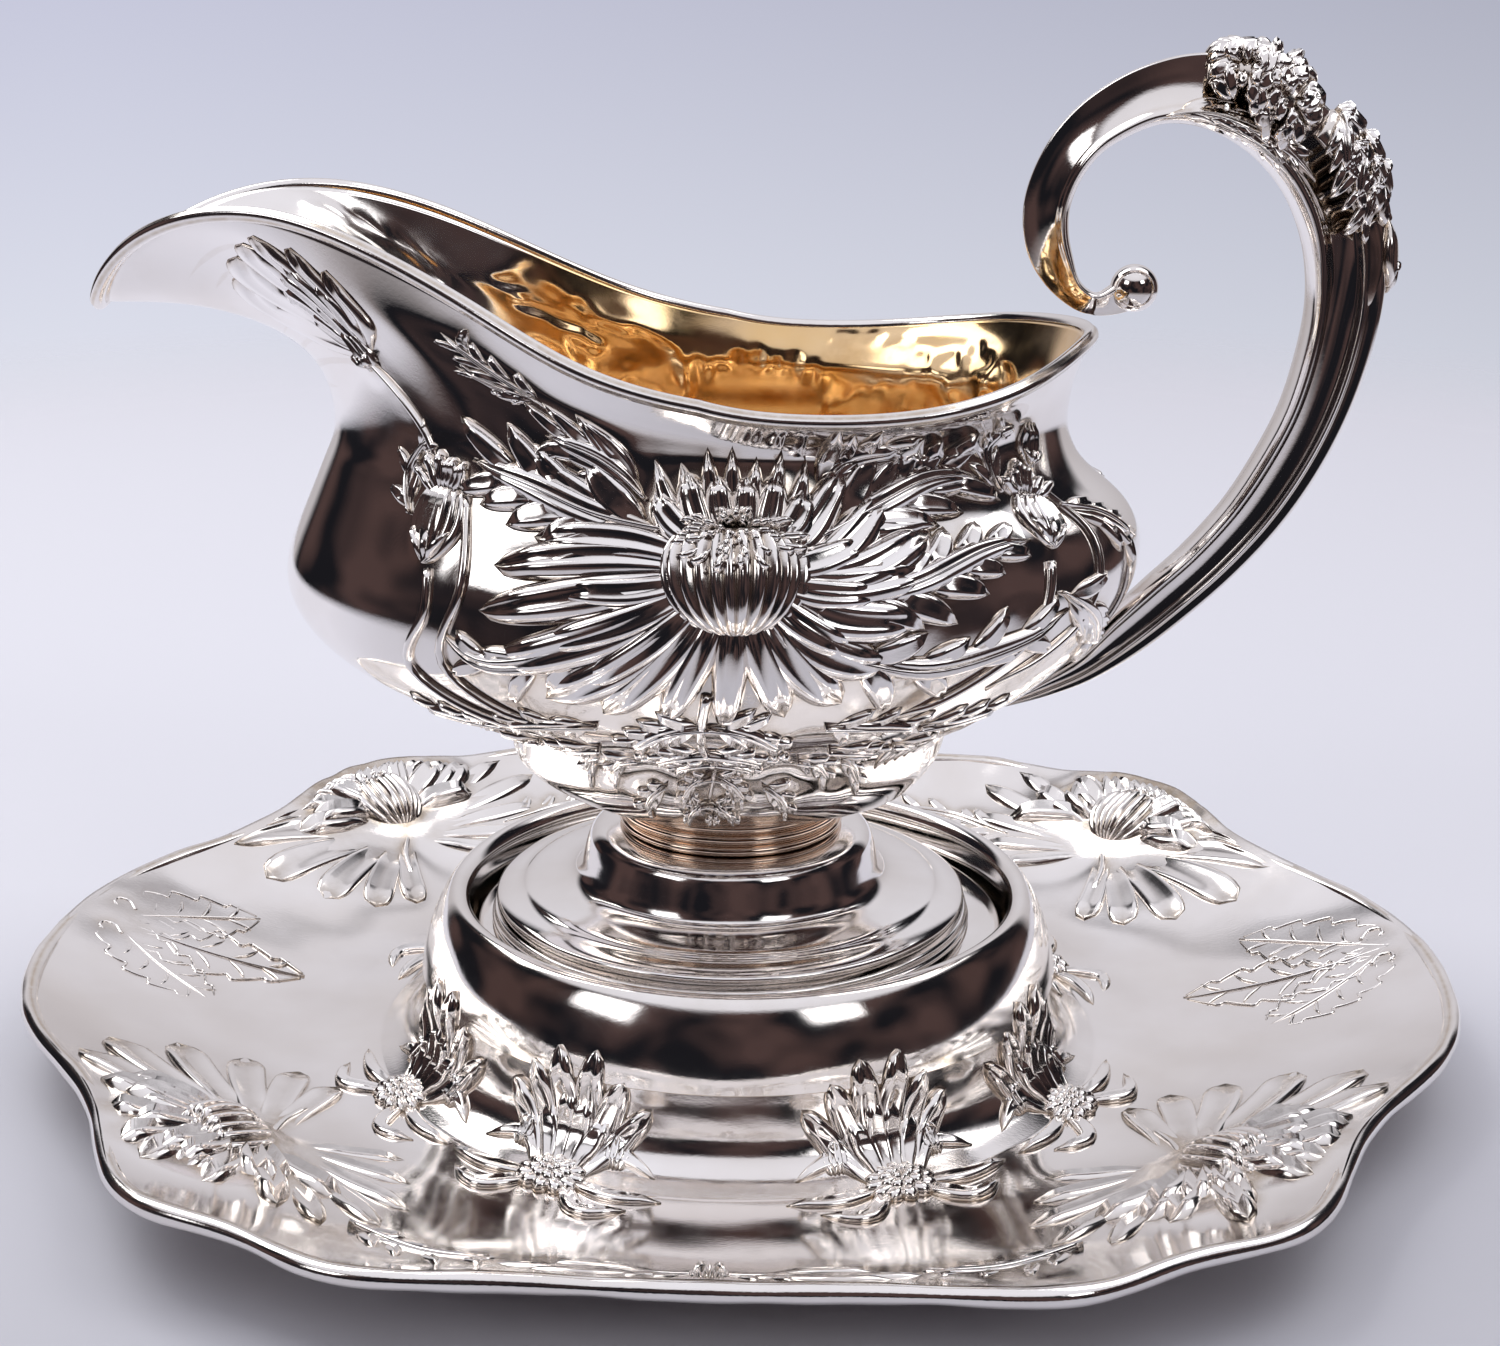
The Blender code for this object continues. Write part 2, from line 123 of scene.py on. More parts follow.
# Handle side outline, scroll end to bowl: outer edge x, z, inner edge x, z, half thickness
HANDLE = [
    (60.3, 130.5, 59.9, 133.4, 1.6),
    (57.0, 130.2, 57.4, 133.9, 1.9),
    (53.3, 131.6, 54.9, 135.8, 2.4),
    (49.1, 135.2, 53.6, 139.6, 3.0),
    (46.0, 140.4, 52.7, 143.8, 3.5),
    (45.1, 147.0, 52.8, 148.0, 4.0),
    (46.4, 153.2, 54.4, 152.4, 4.3),
    (49.6, 159.4, 57.2, 156.2, 4.6),
    (54.6, 164.8, 61.2, 158.9, 4.8),
    (61.9, 169.4, 66.3, 160.9, 5.0),
    (70.5, 172.0, 71.4, 160.9, 5.2),
    (79.0, 171.6, 76.6, 159.2, 5.4),
    (87.5, 168.0, 81.8, 155.9, 5.6),
    (94.8, 162.2, 86.2, 151.2, 5.8),
    (100.2, 154.4, 89.4, 145.4, 6.0),
    (103.4, 145.6, 91.3, 139.0, 6.0),
    (104.4, 136.5, 91.9, 131.8, 6.0),
    (103.2, 126.0, 91.0, 124.0, 6.0),
    (100.3, 115.0, 88.9, 115.4, 5.8),
    (96.0, 104.8, 85.4, 107.4, 5.5),
    (90.3, 95.4, 80.6, 99.0, 5.2),
    (83.2, 86.8, 74.4, 91.2, 5.0),
    (75.0, 78.8, 68.2, 85.0, 4.8),
    (67.5, 72.6, 62.9, 79.4, 4.6),
    (60.0, 68.0, 57.4, 73.0, 4.4),
    (53.4, 65.2, 51.2, 68.4, 3.8),
    (47.6, 63.4, 46.8, 65.0, 3.0),
    (41.6, 61.6, 41.4, 62.2, 1.6),
]
# The scroll's tail, run on into its ball, in place of the first row above
HANDLE_TAIL = [(64.6, 131.4, 62.6, 137.6, 2.4), (60.9, 130.3, 59.6, 134.9, 2.2)]
BALL_CENTRE = (63.8, 134.7)
BALL_RADIUS = 3.9

# ---------------------------------------------------------------- curves and grids


def smoothstep(x):
    x = np.clip(x, 0.0, 1.0)
    return x * x * (3 - 2 * x)


def catmull(table, positions):
    """Catmull-Rom values of a table of rows at fractional row positions."""
    table = np.asarray(table, float)
    last = len(table) - 1
    positions = np.asarray(positions, float)
    row = np.clip(positions.astype(int), 0, last - 1)
    t = (positions - row)[:, None]
    a, b, c, d = (table[np.clip(row + step, 0, last)] for step in (-1, 0, 1, 2))
    linear = (c - a) * t
    square = (2 * a - 5 * b + 4 * c - d) * t * t
    cubic = (3 * b - a - 3 * c + d) * t ** 3
    return 0.5 * (2 * b + linear + square + cubic)


def natural_spline(knots, values, where):
    """A natural cubic spline through values (first axis along the knots), read at where."""
    count = len(knots)
    gap = np.diff(knots)
    flat = values.reshape(count, -1)
    matrix = np.eye(count)
    right = np.zeros_like(flat)
    for k in range(1, count - 1):
        matrix[k, k - 1:k + 2] = gap[k - 1], 2 * (gap[k - 1] + gap[k]), gap[k]
        right[k] = 6 * ((flat[k + 1] - flat[k]) / gap[k] - (flat[k] - flat[k - 1]) / gap[k - 1])
    bend = np.linalg.solve(matrix, right)
    row = np.clip(np.searchsorted(knots, where) - 1, 0, count - 2)
    span = gap[row][:, None]
    ahead = (where - knots[row])[:, None] / span
    behind = 1 - ahead
    made = behind * flat[row] + ahead * flat[row + 1]
    made += ((behind ** 3 - behind) * bend[row] + (ahead ** 3 - ahead) * bend[row + 1]) * span ** 2 / 6
    return made.reshape((len(where),) + values.shape[1:])


def even_line(points, count):
    """A polyline resampled to count points at even distances."""
    points = np.asarray(points, float)
    length = np.concatenate([[0], np.cumsum(np.linalg.norm(np.diff(points, axis=0), axis=1))])
    where = np.linspace(0, length[-1], count)
    return np.stack([np.interp(where, length, points[:, k]) for k in range(points.shape[1])], axis=1)


def curve_through(points, count):
    """An even, smooth curve through a few chosen points."""
    return even_line(catmull(points, np.linspace(0, len(points) - 1, 8 * len(points))), count)


def eased(profile, times=3):
    """A closed or open profile with its corners cut round, Chaikin's way."""
    points = np.asarray(profile, float)
    for _ in range(times):
        first = 0.75 * points[:-1] + 0.25 * points[1:]
        second = 0.25 * points[:-1] + 0.75 * points[1:]
        middle = np.stack([first, second], axis=1).reshape(-1, points.shape[1])
        points = np.concatenate([points[:1], middle, points[-1:]])
    return points


def grid_normals(grid):
    """Outward normals of a grid of points whose columns close round."""
    around = np.roll(grid, -1, axis=1) - np.roll(grid, 1, axis=1)
    up = np.gradient(grid, axis=0)
    normals = np.cross(around, up)
    return normals / np.maximum(np.linalg.norm(normals, axis=2, keepdims=True), 1e-12)


def grid_faces(rows, columns, first=0, closed_columns=True, closed_rows=False):
    r = np.arange(rows if closed_rows else rows - 1)
    c = np.arange(columns if closed_columns else columns - 1)
    r, c = np.meshgrid(r, c, indexing="ij")
    after = (c + 1) % columns
    above = (r + 1) % rows
    quads = np.stack([r * columns + c, r * columns + after, above * columns + after, above * columns + c],
                     axis=-1)
    return quads.reshape(-1, 4) + first


def end_caps(rows, columns):
    """One many-sided face across the first row of a grid and one across its last."""
    return [np.arange(columns)[None, ::-1], np.arange(columns)[None, :] + (rows - 1) * columns]


# ---------------------------------------------------------------- pieces


def piece(name, points, faces, body, slot, material, replaces=(), **attributes):
    """A smooth mesh piece from points in millimetres that rides on a body of the frame."""
    mesh = bpy.data.meshes.new(name)
    points = np.asarray(points, np.float32) * MM
    corners = np.concatenate([np.asarray(f).ravel() for f in faces])
    totals = np.concatenate([np.full(len(f), len(f[0])) if np.ndim(f) == 2 else [len(f)] for f in faces])
    mesh.vertices.add(len(points))
    mesh.vertices.foreach_set("co", points.ravel())
    mesh.loops.add(len(corners))
    mesh.loops.foreach_set("vertex_index", corners.astype(np.int32))
    mesh.polygons.add(len(totals))
    mesh.polygons.foreach_set("loop_start", (np.cumsum(totals) - totals).astype(np.int32))
    mesh.polygons.foreach_set("loop_total", totals.astype(np.int32))
    mesh.update(calc_edges=True)
    mesh.validate()
    mesh.shade_smooth()
    for key, values in attributes.items():
        layer = mesh.attributes.new(key, "FLOAT", "POINT")
        layer.data.foreach_set("value", np.asarray(values, np.float32))
    thing = bpy.data.objects.new(name, mesh)
    bpy.context.scene.collection.objects.link(thing)
    mesh.materials.append(material)
    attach(thing, body)
    if replaces:
        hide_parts(*replaces)
    return thing


def turned(name, profile, body, slot, material, replaces, centre_x=0.0, columns=288, wobble=0.04):
    """A closed profile of radius and height turned about a vertical axis, with a hand-planished wobble."""
    profile = np.asarray(profile, float)
    angle = np.linspace(0, 2 * math.pi, columns, endpoint=False)
    radius, height = profile[:, 0][:, None], profile[:, 1][:, None]
    uneven = wobble * (np.sin(5 * angle + 0.31 * height) + 0.6 * np.sin(11 * angle - 0.5 * height + 1.0))
    reach = np.maximum(radius + uneven * smoothstep(radius / 20), 0.02)
    grid = np.stack([centre_x + reach * np.cos(angle), reach * np.sin(angle), height + 0 * angle], axis=-1)
    faces = [grid_faces(len(profile), columns, closed_rows=True)]
    near = np.roll(profile, 1, axis=0) - profile
    far = np.roll(profile, -1, axis=0) - profile
    bend = near[:, 0] * far[:, 1] - near[:, 1] * far[:, 0]
    hollow = np.clip(np.convolve(np.tile(bend, 3), np.ones(5) / 5, "same")[len(bend):2 * len(bend)] * 8, 0, 1)
    tone = np.repeat(hollow, columns)
    return piece(name, grid.reshape(-1, 3), faces, body, slot, material, replaces, tone=tone)


# ---------------------------------------------------------------- skins


def tray_reach(angle):
    """Radius of the stand's outline: an oval with four corner lobes."""
    folded = np.abs((np.degrees(angle) + 90.0) % 180.0 - 90.0)
    oval = 1.0 / np.hypot(np.cos(angle) / TRAY_HALF_LENGTH, np.sin(angle) / TRAY_HALF_WIDTH)
    lobe = LOBE_HEIGHT * np.exp(-((folded - LOBE_ANGLE) / LOBE_SPREAD) ** 2)
    flat = LOBE_FLAT * np.exp(-((folded - LOBE_ANGLE) / LOBE_FLAT_SPREAD) ** 2)
    notch = NOTCH_DEPTH * np.exp(-((folded - NOTCH_ANGLE) / NOTCH_SPREAD) ** 2)
    return oval + lobe - flat - notch


def basin_height(angle, radius):
    """Height of the tray's upper skin outside the cove."""
    edge = tray_reach(angle) - 2 * TRAY_WIRE_RADIUS
    share = np.clip((radius - BASIN_RADIUS) / (edge - BASIN_RADIUS), 0, 1.05)
    return COVE[-1][1] + (TRAY_RIM_Z + TRAY_SHEET / 2 - COVE[-1][1]) * share ** 1.7


def bowl_control(angle):
    """Rings of control points of the bowl's outer skin, bottom to rim, for an array of angles."""
    c, s = np.cos(angle), np.sin(angle)
    rings = []
    for index, (height, spout, handle, half_width) in enumerate(BOWL_LEVELS):
        middle = FOOT_X if index == 0 else BOWL_MIDDLE_X
        reach = np.where(c > 0, handle - middle, middle - spout)
        rings.append(np.stack([middle + reach * c, half_width * s, np.full_like(c, height)], axis=-1))
    neck, rim = rings[-1], rim_line(angle)
    lip = smoothstep((-c - 0.5) / 0.5)[:, None]
    rise = (0.45 * (rim[:, 2] - neck[:, 2]))[:, None]
    up = np.array([0.0, 0.0, 1.0])
    first = neck + up * (rise + 4.0 * lip)
    plain = rim - 2.0 * np.stack([c, s, 0 * c], axis=-1) - up * rise
    second = plain * (1 - lip) + (rim + np.array([23.0, 0.0, 1.5])) * lip
    toward = rim - second
    edge = rim - toward / np.linalg.norm(toward, axis=1, keepdims=True) * 0.6 * RIM_WIRE_RADIUS
    for share in np.linspace(0.2, 1.0, 5):
        back = 1 - share
        rings.append(back ** 3 * neck + 3 * back * back * share * first
                     + 3 * back * share * share * second + share ** 3 * edge)
    return np.stack(rings)


def rim_line(angle):
    """The rim wire's middle line for an array of angles."""
    turn = np.degrees(angle) % 360.0
    side = np.where(turn <= 180.0, 1.0, -1.0)
    turn = np.where(turn <= 180.0, turn, 360.0 - turn)
    marks = np.array([row[0] for row in RIM], float)
    values = np.array([row[1:] for row in RIM], float)
    mirrored = np.concatenate([-marks[3:0:-1], marks, 360 - marks[-2:-5:-1]])
    widths = np.concatenate([-values[3:0:-1, 0], values[:, 0], -values[-2:-5:-1, 0]])
    heights = np.concatenate([values[3:0:-1, 1], values[:, 1], values[-2:-5:-1, 1]])
    both = natural_spline(mirrored, np.stack([widths, heights], axis=1), turn)
    middle = np.radians(turn)
    reach = np.where(turn < 90, RIM_REACH_HANDLE - BOWL_MIDDLE_X, BOWL_MIDDLE_X - RIM_REACH_SPOUT)
    return np.stack([BOWL_MIDDLE_X + reach * np.cos(middle), side * both[:, 0], both[:, 1]], axis=-1)


def bowl_grid(rows, columns):
    """The bowl's outer skin as an even grid of points, bottom to rim."""
    angle = np.linspace(0, 2 * math.pi, columns, endpoint=False)
    control = bowl_control(angle)
    steps = np.linalg.norm(np.diff(control, axis=0), axis=2).mean(axis=1)
    knots = np.concatenate([[0], np.cumsum(steps)])
    return natural_spline(knots, control, np.linspace(0, knots[-1], rows))


def unrolled(grid):
    """Each column's distance round the belly from the front, and each point's up the skin from the belly."""
    columns = grid.shape[1]
    front = 3 * columns // 4
    belly = int(np.argmin(np.abs(grid[:, front, 2] - BELLY_Z)))
    along = np.cumsum(np.linalg.norm(grid[belly] - np.roll(grid[belly], 1, axis=0), axis=1))
    upward = np.linalg.norm(np.diff(grid, axis=0), axis=2)
    height = np.concatenate([np.zeros((1, columns)), np.cumsum(upward, axis=0)])
    return along - along[front], height - height[belly]


def folded_places(grid):
    """Flat coordinates of a grid of skin points, with the far side folded onto the near one."""
    along, height = unrolled(grid)
    columns = len(along)
    along = np.where(np.arange(columns) < columns // 2, along[::-1], along)
    return np.broadcast_to(along, height.shape), height


class BowlChart:
    """Flat coordinates on the bowl's near side: s along the belly toward the handle, t up the skin."""

    def __init__(self):
        self.grid = bowl_grid(200, 720)
        self.normals = grid_normals(self.grid)
        self.s_of_column, self.t_table = unrolled(self.grid)

    def __call__(self, s, t):
        """Points and outward normals at flat coordinates; t runs true along every column."""
        rows, columns = self.grid.shape[:2]
        u = np.interp(s, self.s_of_column, np.arange(columns))
        column = np.rint(u).astype(int) % columns
        heights = self.t_table[:, column]
        below = np.clip((heights <= t).sum(axis=0) - 1, 0, rows - 2)
        low = np.take_along_axis(heights, below[None], axis=0)[0]
        high = np.take_along_axis(heights, below[None] + 1, axis=0)[0]
        v = below + np.clip((t - low) / (high - low), 0, 1)
        c = np.clip(u.astype(int), 0, columns - 1)
        r = np.clip(v.astype(int), 0, rows - 2)
        fu, fv = (u - c)[..., None], (v - r)[..., None]
        after = (c + 1) % columns
        found = []
        for table in (self.grid, self.normals):
            low = table[r, c] * (1 - fu) + table[r, after] * fu
            high = table[r + 1, c] * (1 - fu) + table[r + 1, after] * fu
            found.append(low * (1 - fv) + high * fv)
        return found


def basin_chart(x, y):
    """Points and normals on the tray's basin, straight above flat positions."""
    def lifted(px, py):
        return basin_height(np.arctan2(py, px), np.hypot(px, py))
    limit = tray_reach(np.arctan2(y, x)) - 5.0
    distance = np.maximum(np.hypot(x, y), 1.0)
    shrink = np.where(distance > limit, (limit + 2.6 * np.tanh((distance - limit) / 8.0)) / distance, 1.0)
    x, y = x * shrink, y * shrink
    z = lifted(x, y)
    step = 0.3
    slope_x = (lifted(x + step, y) - lifted(x - step, y)) / (2 * step)
    slope_y = (lifted(x, y + step) - lifted(x, y - step)) / (2 * step)
    normals = np.stack([-slope_x, -slope_y, np.ones_like(z)], axis=-1)
    normals /= np.linalg.norm(normals, axis=-1, keepdims=True)
    return np.stack([x, y, z], axis=-1), normals


def tray_profile_points(angle, rows):
    """The tray's upper skin from the cove's top to the rim wire, one column for each angle."""
    cove = eased(COVE, 2)
    edge = tray_reach(angle) - TRAY_WIRE_RADIUS
    share = np.linspace(0, 1, rows)[:, None]
    radius = COVE[-1][0] + (edge - COVE[-1][0]) * share
    height = basin_height(angle[None, :], radius)
    cove_radius = np.repeat(cove[:-1, 0][:, None], len(angle), axis=1)
    cove_height = np.repeat(cove[:-1, 1][:, None], len(angle), axis=1)
    radius = np.concatenate([cove_radius, radius])
    height = np.concatenate([cove_height, height])
    return np.stack([radius * np.cos(angle), radius * np.sin(angle), height], axis=-1)


# ---------------------------------------------------------------- chased relief

OUTLINES = {
    "petal": lambda x: (0.35 + 0.65 * smoothstep(x / 0.6)) * np.sqrt(np.clip(1 - x ** 6, 0, 1)),
    "tongue": lambda x: (0.55 + 0.45 * x) * np.sqrt(np.clip(1 - x ** 10, 0, 1)),
    "leaf": lambda x: 1.75 * x ** 0.7 * np.clip(1 - x, 0, 1) ** 0.75,
    "stem": lambda x: 1 - 0.25 * x,
    "bud": lambda x: np.sqrt(np.clip(1 - (2 * x - 1) ** 2, 0, 1)),
}
SECTIONS = {
    "dome": lambda a: np.sqrt(np.clip(1 - a * a, 0, 1)),
    "vein": lambda a: np.sqrt(np.clip(1 - a * a, 0, 1)) * (1 - 0.4 * np.exp(-(a / 0.2) ** 2)),
    "cup": lambda a: np.sqrt(np.clip(1 - a ** 6, 0, 1)) * (0.45 + 0.55 * a * a),
    "crease": lambda a: (1 - np.abs(a)) ** 0.7,
}


class Relief:
    """Chased ribbons on one surface, gathered into one mesh."""

    SUNK = 0.45

    def __init__(self, surface):
        self.surface = surface
        self.points, self.quads, self.caps, self.tones = [], [], [], []
        self.count = 0
        self.marks = []

    def ribbon(self, path, half_width, height, outline="petal", section="vein", across=9, stations=14,
               curl=0.0, base=0.25, lift=0.0):
        """One closed ribbon along a few points; curl lifts its tip and base is its height at the root."""
        line = curve_through(path, stations)
        x = np.linspace(0, 1, stations)
        ahead = np.gradient(line, axis=0)
        ahead /= np.maximum(np.linalg.norm(ahead, axis=1, keepdims=True), 1e-9)
        side = np.stack([-ahead[:, 1], ahead[:, 0]], axis=1)
        width = np.maximum(half_width * OUTLINES[outline](x), 0.06)
        crown = height * (base + (1 - base) * smoothstep(x / 0.45)) * (1 - 0.75 * smoothstep((x - 0.8) / 0.2))
        crown += curl * smoothstep((x - 0.45) / 0.5) + lift
        a = np.sin(np.linspace(-math.pi / 2, math.pi / 2, across))
        s = line[:, 0][:, None] + side[:, 0][:, None] * width[:, None] * a
        t = line[:, 1][:, None] + side[:, 1][:, None] * width[:, None] * a
        rise = crown[:, None] * SECTIONS[section](a)[None, :]
        rise[:, 0] = rise[:, -1] = -self.SUNK
        place, normal = self.surface(s, t)
        top = place + normal * rise[..., None]
        foot, foot_normal = self.surface(line[:, 0], line[:, 1])
        under = foot - foot_normal * (1.2 * self.SUNK)
        ring = np.concatenate([top, under[:, None, :]], axis=1)
        depth = np.clip(1 - rise / max(0.55 * height, 0.05), 0, 1)
        tone = np.concatenate([depth, np.ones((stations, 1))], axis=1)
        self.add(ring, tone)
        self.marks.append(np.stack([s.ravel(), t.ravel(), np.maximum(rise, 0).ravel()], axis=1))

    def add(self, ring, tone):
        stations, columns = ring.shape[:2]
        self.points.append(ring.reshape(-1, 3))
        self.tones.append(tone.ravel())
        self.quads.append(grid_faces(stations, columns, self.count)[:, ::-1])
        self.caps.append(np.arange(columns)[None, :] + self.count)
        last = self.count + (stations - 1) * columns
        self.caps.append((np.arange(columns)[::-1] + last)[None, :])
        self.count += stations * columns

    def absorb(self, other, centre, turn):
        """Take over a relief that was made in a turned frame standing at centre."""
        c, s = math.cos(turn), math.sin(turn)
        self.points += other.points
        self.tones += other.tones
        self.quads += [quads + self.count for quads in other.quads]
        self.caps += [cap + self.count for cap in other.caps]
        self.count += other.count
        for dots in other.marks:
            x = centre[0] + c * dots[:, 0] - s * dots[:, 1]
            y = centre[1] + s * dots[:, 0] + c * dots[:, 1]
            self.marks.append(np.stack([x, y, dots[:, 2]], axis=1))

    def mesh(self, mirror_y=False):
        points = np.concatenate(self.points)
        quads = np.concatenate(self.quads)
        caps = list(self.caps)
        if mirror_y:
            points = points * np.array([1.0, -1.0, 1.0])
            quads = quads[:, ::-1]
            caps = [cap[:, ::-1] for cap in caps]
        return points, [quads] + caps, np.concatenate(self.tones)


def bloom(relief, centre, aim, spread, count, length, half_width, height, section="vein", start=3.0, **looks):
    """Petals fanned about a direction from one centre, lengths and bends a little uneven."""
    for k in range(count):
        share = (k + 0.5) / count - 0.5
        angle = math.radians(aim + spread * share)
        reach = length * (1 + 0.072 * rng.standard_normal())
        bend = math.radians(10 * rng.standard_normal())
        path = []
        for step in (0.0, 0.35, 0.7, 1.0):
            turn = angle + bend * step
            far = start + (reach - start) * step
            path.append((centre[0] + far * math.cos(turn), centre[1] + far * math.sin(turn)))
        relief.ribbon(path, half_width * (0.9 + 0.2 * rng.random()), height, "petal", section, **looks)


def leaf(relief, path, half_width, height, lobes=4, lobe_angle=29.0, midrib=True):
    """A fleshy leaf: rounded side lobes overlapping along a curved, creased blade."""
    line = curve_through(path, 24)
    ahead = np.gradient(line, axis=0)
    ahead /= np.linalg.norm(ahead, axis=1, keepdims=True)
    for k in range(lobes):
        at = int(2 + 15 * k / max(lobes - 1, 1))
        size = half_width * (1.2 - 0.45 * k / lobes)
        for side in (-1, 1):
            turn = side * math.radians(lobe_angle + 7 * rng.standard_normal())
            c, s = math.cos(turn), math.sin(turn)
            out = np.array([c * ahead[at, 0] - s * ahead[at, 1], s * ahead[at, 0] + c * ahead[at, 1]])
            root = line[at]
            tip = root + out * size * (1.75 + 0.15 * rng.standard_normal())
            middle = (root + tip) / 2 + ahead[at] * size * 0.16
            relief.ribbon([root, middle, tip], size * 0.52, height * 0.95, "leaf", "vein", across=9,
                          stations=14)
    relief.ribbon(path, half_width * 0.58, height * 1.1, "leaf", "vein", across=11, stations=20)
    if midrib:
        relief.ribbon(path, half_width * 0.07, height * 1.2, "stem", "dome", across=5, stations=18, base=0.8)


def outline_leaf(relief, path, half_width, teeth=6):
    """A flat chased leaf: a low wavy outline with a midrib and veins, hardly raised."""
    line = curve_through(path, 60)
    ahead = np.gradient(line, axis=0)
    ahead /= np.linalg.norm(ahead, axis=1, keepdims=True)
    across = np.stack([-ahead[:, 1], ahead[:, 0]], axis=1)
    x = np.linspace(0, 1, 60)
    body = half_width * np.sin(math.pi * np.clip(x * 0.94 + 0.06, 0, 1)) ** 0.7
    saw = 1 - 0.30 * ((x * teeth) % 1.0) ** 1.6
    for side in (-1, 1):
        edge = line + across * (side * body * saw)[:, None]
        relief.ribbon(edge[::2], 0.36, 0.42, "stem", "dome", across=5, stations=70, base=0.9)
        for k in range(1, teeth):
            at = int(60 * (k - 0.35) / teeth)
            tip = line[min(at + 7, 59)] + across[at] * side * body[at] * 0.7
            relief.ribbon([line[at], (line[at] + tip) / 2 + ahead[at] * 0.6, tip], 0.9, 0.45, "leaf",
                          "crease", across=5, stations=8)
    relief.ribbon(path, 0.38, 0.5, "stem", "dome", across=5, stations=20, base=0.9)


def globe(relief, centre, radii, depth, petals, rows=30):
    """A round flower head seen from the side: broad petals cupped like melon ribs round an open top."""
    across = petals * 8 + 1
    share = np.linspace(-1, 1, across)
    longitude = share * math.pi * 0.54
    latitude = np.linspace(0.08, 0.70 * math.pi, rows)
    wave = np.abs(np.cos(0.5 * math.pi * petals * (share + 0.10 * np.sin(2.1 * share))))
    rib = 1.0 - 0.13 * wave ** 5
    lat, lon = np.meshgrid(latitude, longitude, indexing="ij")
    lean = 0.05 * np.sin(9.0 * share)[None, :] * np.sin(lat)
    swell = 1.0 - (1.0 - rib[None, :]) * np.sin(lat) ** 0.5 + lean
    s = centre[0] + radii[0] * np.sin(lon) * np.sin(lat) * swell
    t = centre[1] - radii[1] * np.cos(lat) * (1 + 0.05 * lean)
    rise = depth * np.cos(lon) * np.sin(lat) ** 0.75 * swell
    rise[-1] *= 0.86
    place, normal = relief.surface(s, t)
    top = place + normal * (rise - 0.3)[..., None]
    under, under_normal = relief.surface(s[:, across // 2], t[:, across // 2])
    ring = np.concatenate([top, (under - under_normal * 0.5)[:, None, :]], axis=1)
    groove = np.clip(wave ** 9, 0, 1)
    tone = np.concatenate([np.repeat(groove[None, :], rows, axis=0), np.ones((rows, 1))], axis=1)
    relief.add(ring, tone)
    relief.marks.append(np.stack([s.ravel(), t.ravel(), np.maximum(rise, 0).ravel()], axis=1))


def chrysanthemum_head(relief, centre, size, depth):
    """The big flower: upright petals behind a ribbed head whose top opens in curled fingers."""
    cs, ct = centre
    for count, reach, wide, lift, outline in ((7, 1.58, 0.27, 0.0, "leaf"), (6, 1.24, 0.25, 1.2, "petal")):
        for k in range(count):
            side = 2 * (k + 0.5) / count - 1
            far = reach * size * (1 - 0.22 * side * side)
            tip = (cs + side * 1.30 * size, ct + far + 0.06 * size * rng.standard_normal())
            middle = (cs + side * 1.02 * size, ct + 0.60 * far)
            root = (cs + side * 0.40 * size, ct + 0.15 * size)
            relief.ribbon([root, middle, tip], wide * size, 2.6, outline, "vein", across=13, stations=20,
                          lift=lift, curl=0.3)
    globe(relief, centre, (1.04 * size, 0.80 * size), depth, 15)
    crown = (cs, ct + 0.36 * size)
    for ring, count, reach in ((0, 17, 0.86), (1, 13, 0.62), (2, 9, 0.42), (3, 5, 0.22)):
        for k in range(count):
            turn = 2 * math.pi * (k + 0.5 * ring) / count + 0.12 * rng.standard_normal()
            c, s = math.cos(turn), math.sin(turn)
            near, far = 0.50 * reach * size, reach * size * (1 + 0.08 * rng.standard_normal())
            path = [(crown[0] + near * c, crown[1] + 0.52 * near * s + 0.03 * size * ring),
                    (crown[0] + 0.8 * far * c, crown[1] + 0.52 * far * s + 0.03 * size * ring),
                    (crown[0] + far * c, crown[1] + 0.50 * far * s + 0.03 * size * ring)]
            rise = depth * math.sqrt(max(1 - (0.9 * reach * c) ** 2, 0.05)) * (0.80 - 0.22 * s * reach)
            relief.ribbon(path, 0.105 * size, 1.5, "petal", "dome", across=9, stations=10, lift=rise - 0.4,
                          curl=0.2)


def bud_head(relief, centre, aim, size, petals=5, height=2.4):
    """A closed bud: overlapping petals from one calyx, with a ruffled end."""
    c, s = math.cos(math.radians(aim)), math.sin(math.radians(aim))
    root = (centre[0] - 0.9 * size * c, centre[1] - 0.9 * size * s)
    for k in range(petals):
        share = (k + 0.5) / petals - 0.5
        off = size * share
        middle = (centre[0] - s * off * 1.25, centre[1] + c * off * 1.25)
        tip = (centre[0] + size * c - s * off * 0.9, centre[1] + size * s + c * off * 0.9)
        relief.ribbon([root, middle, tip], 0.26 * size, height * (1 - abs(share)), "bud", "vein",
                      across=9, stations=14, base=0.6)
    for side in (-1, 0, 1):
        tip = (centre[0] - 0.1 * size * c - s * side * 0.55 * size,
               centre[1] - 0.1 * size * s + c * side * 0.55 * size)
        relief.ribbon([root, tip], 0.22 * size, height * 0.9, "leaf", "crease", across=7, stations=8,
                      lift=0.3)


def stems(relief, path, width=0.8, height=1.0):
    relief.ribbon(path, width, height, "stem", "dome", across=7, stations=26, base=0.9)


# ---------------------------------------------------------------- materials


def node(tree, kind, inputs=None, **settings):
    made = tree.nodes.new(kind)
    for key, value in settings.items():
        setattr(made, key, value)
    for key, value in (inputs or {}).items():
        if isinstance(value, bpy.types.NodeSocket):
            tree.links.new(value, made.inputs[key])
        else:
            made.inputs[key].default_value = value
    return made


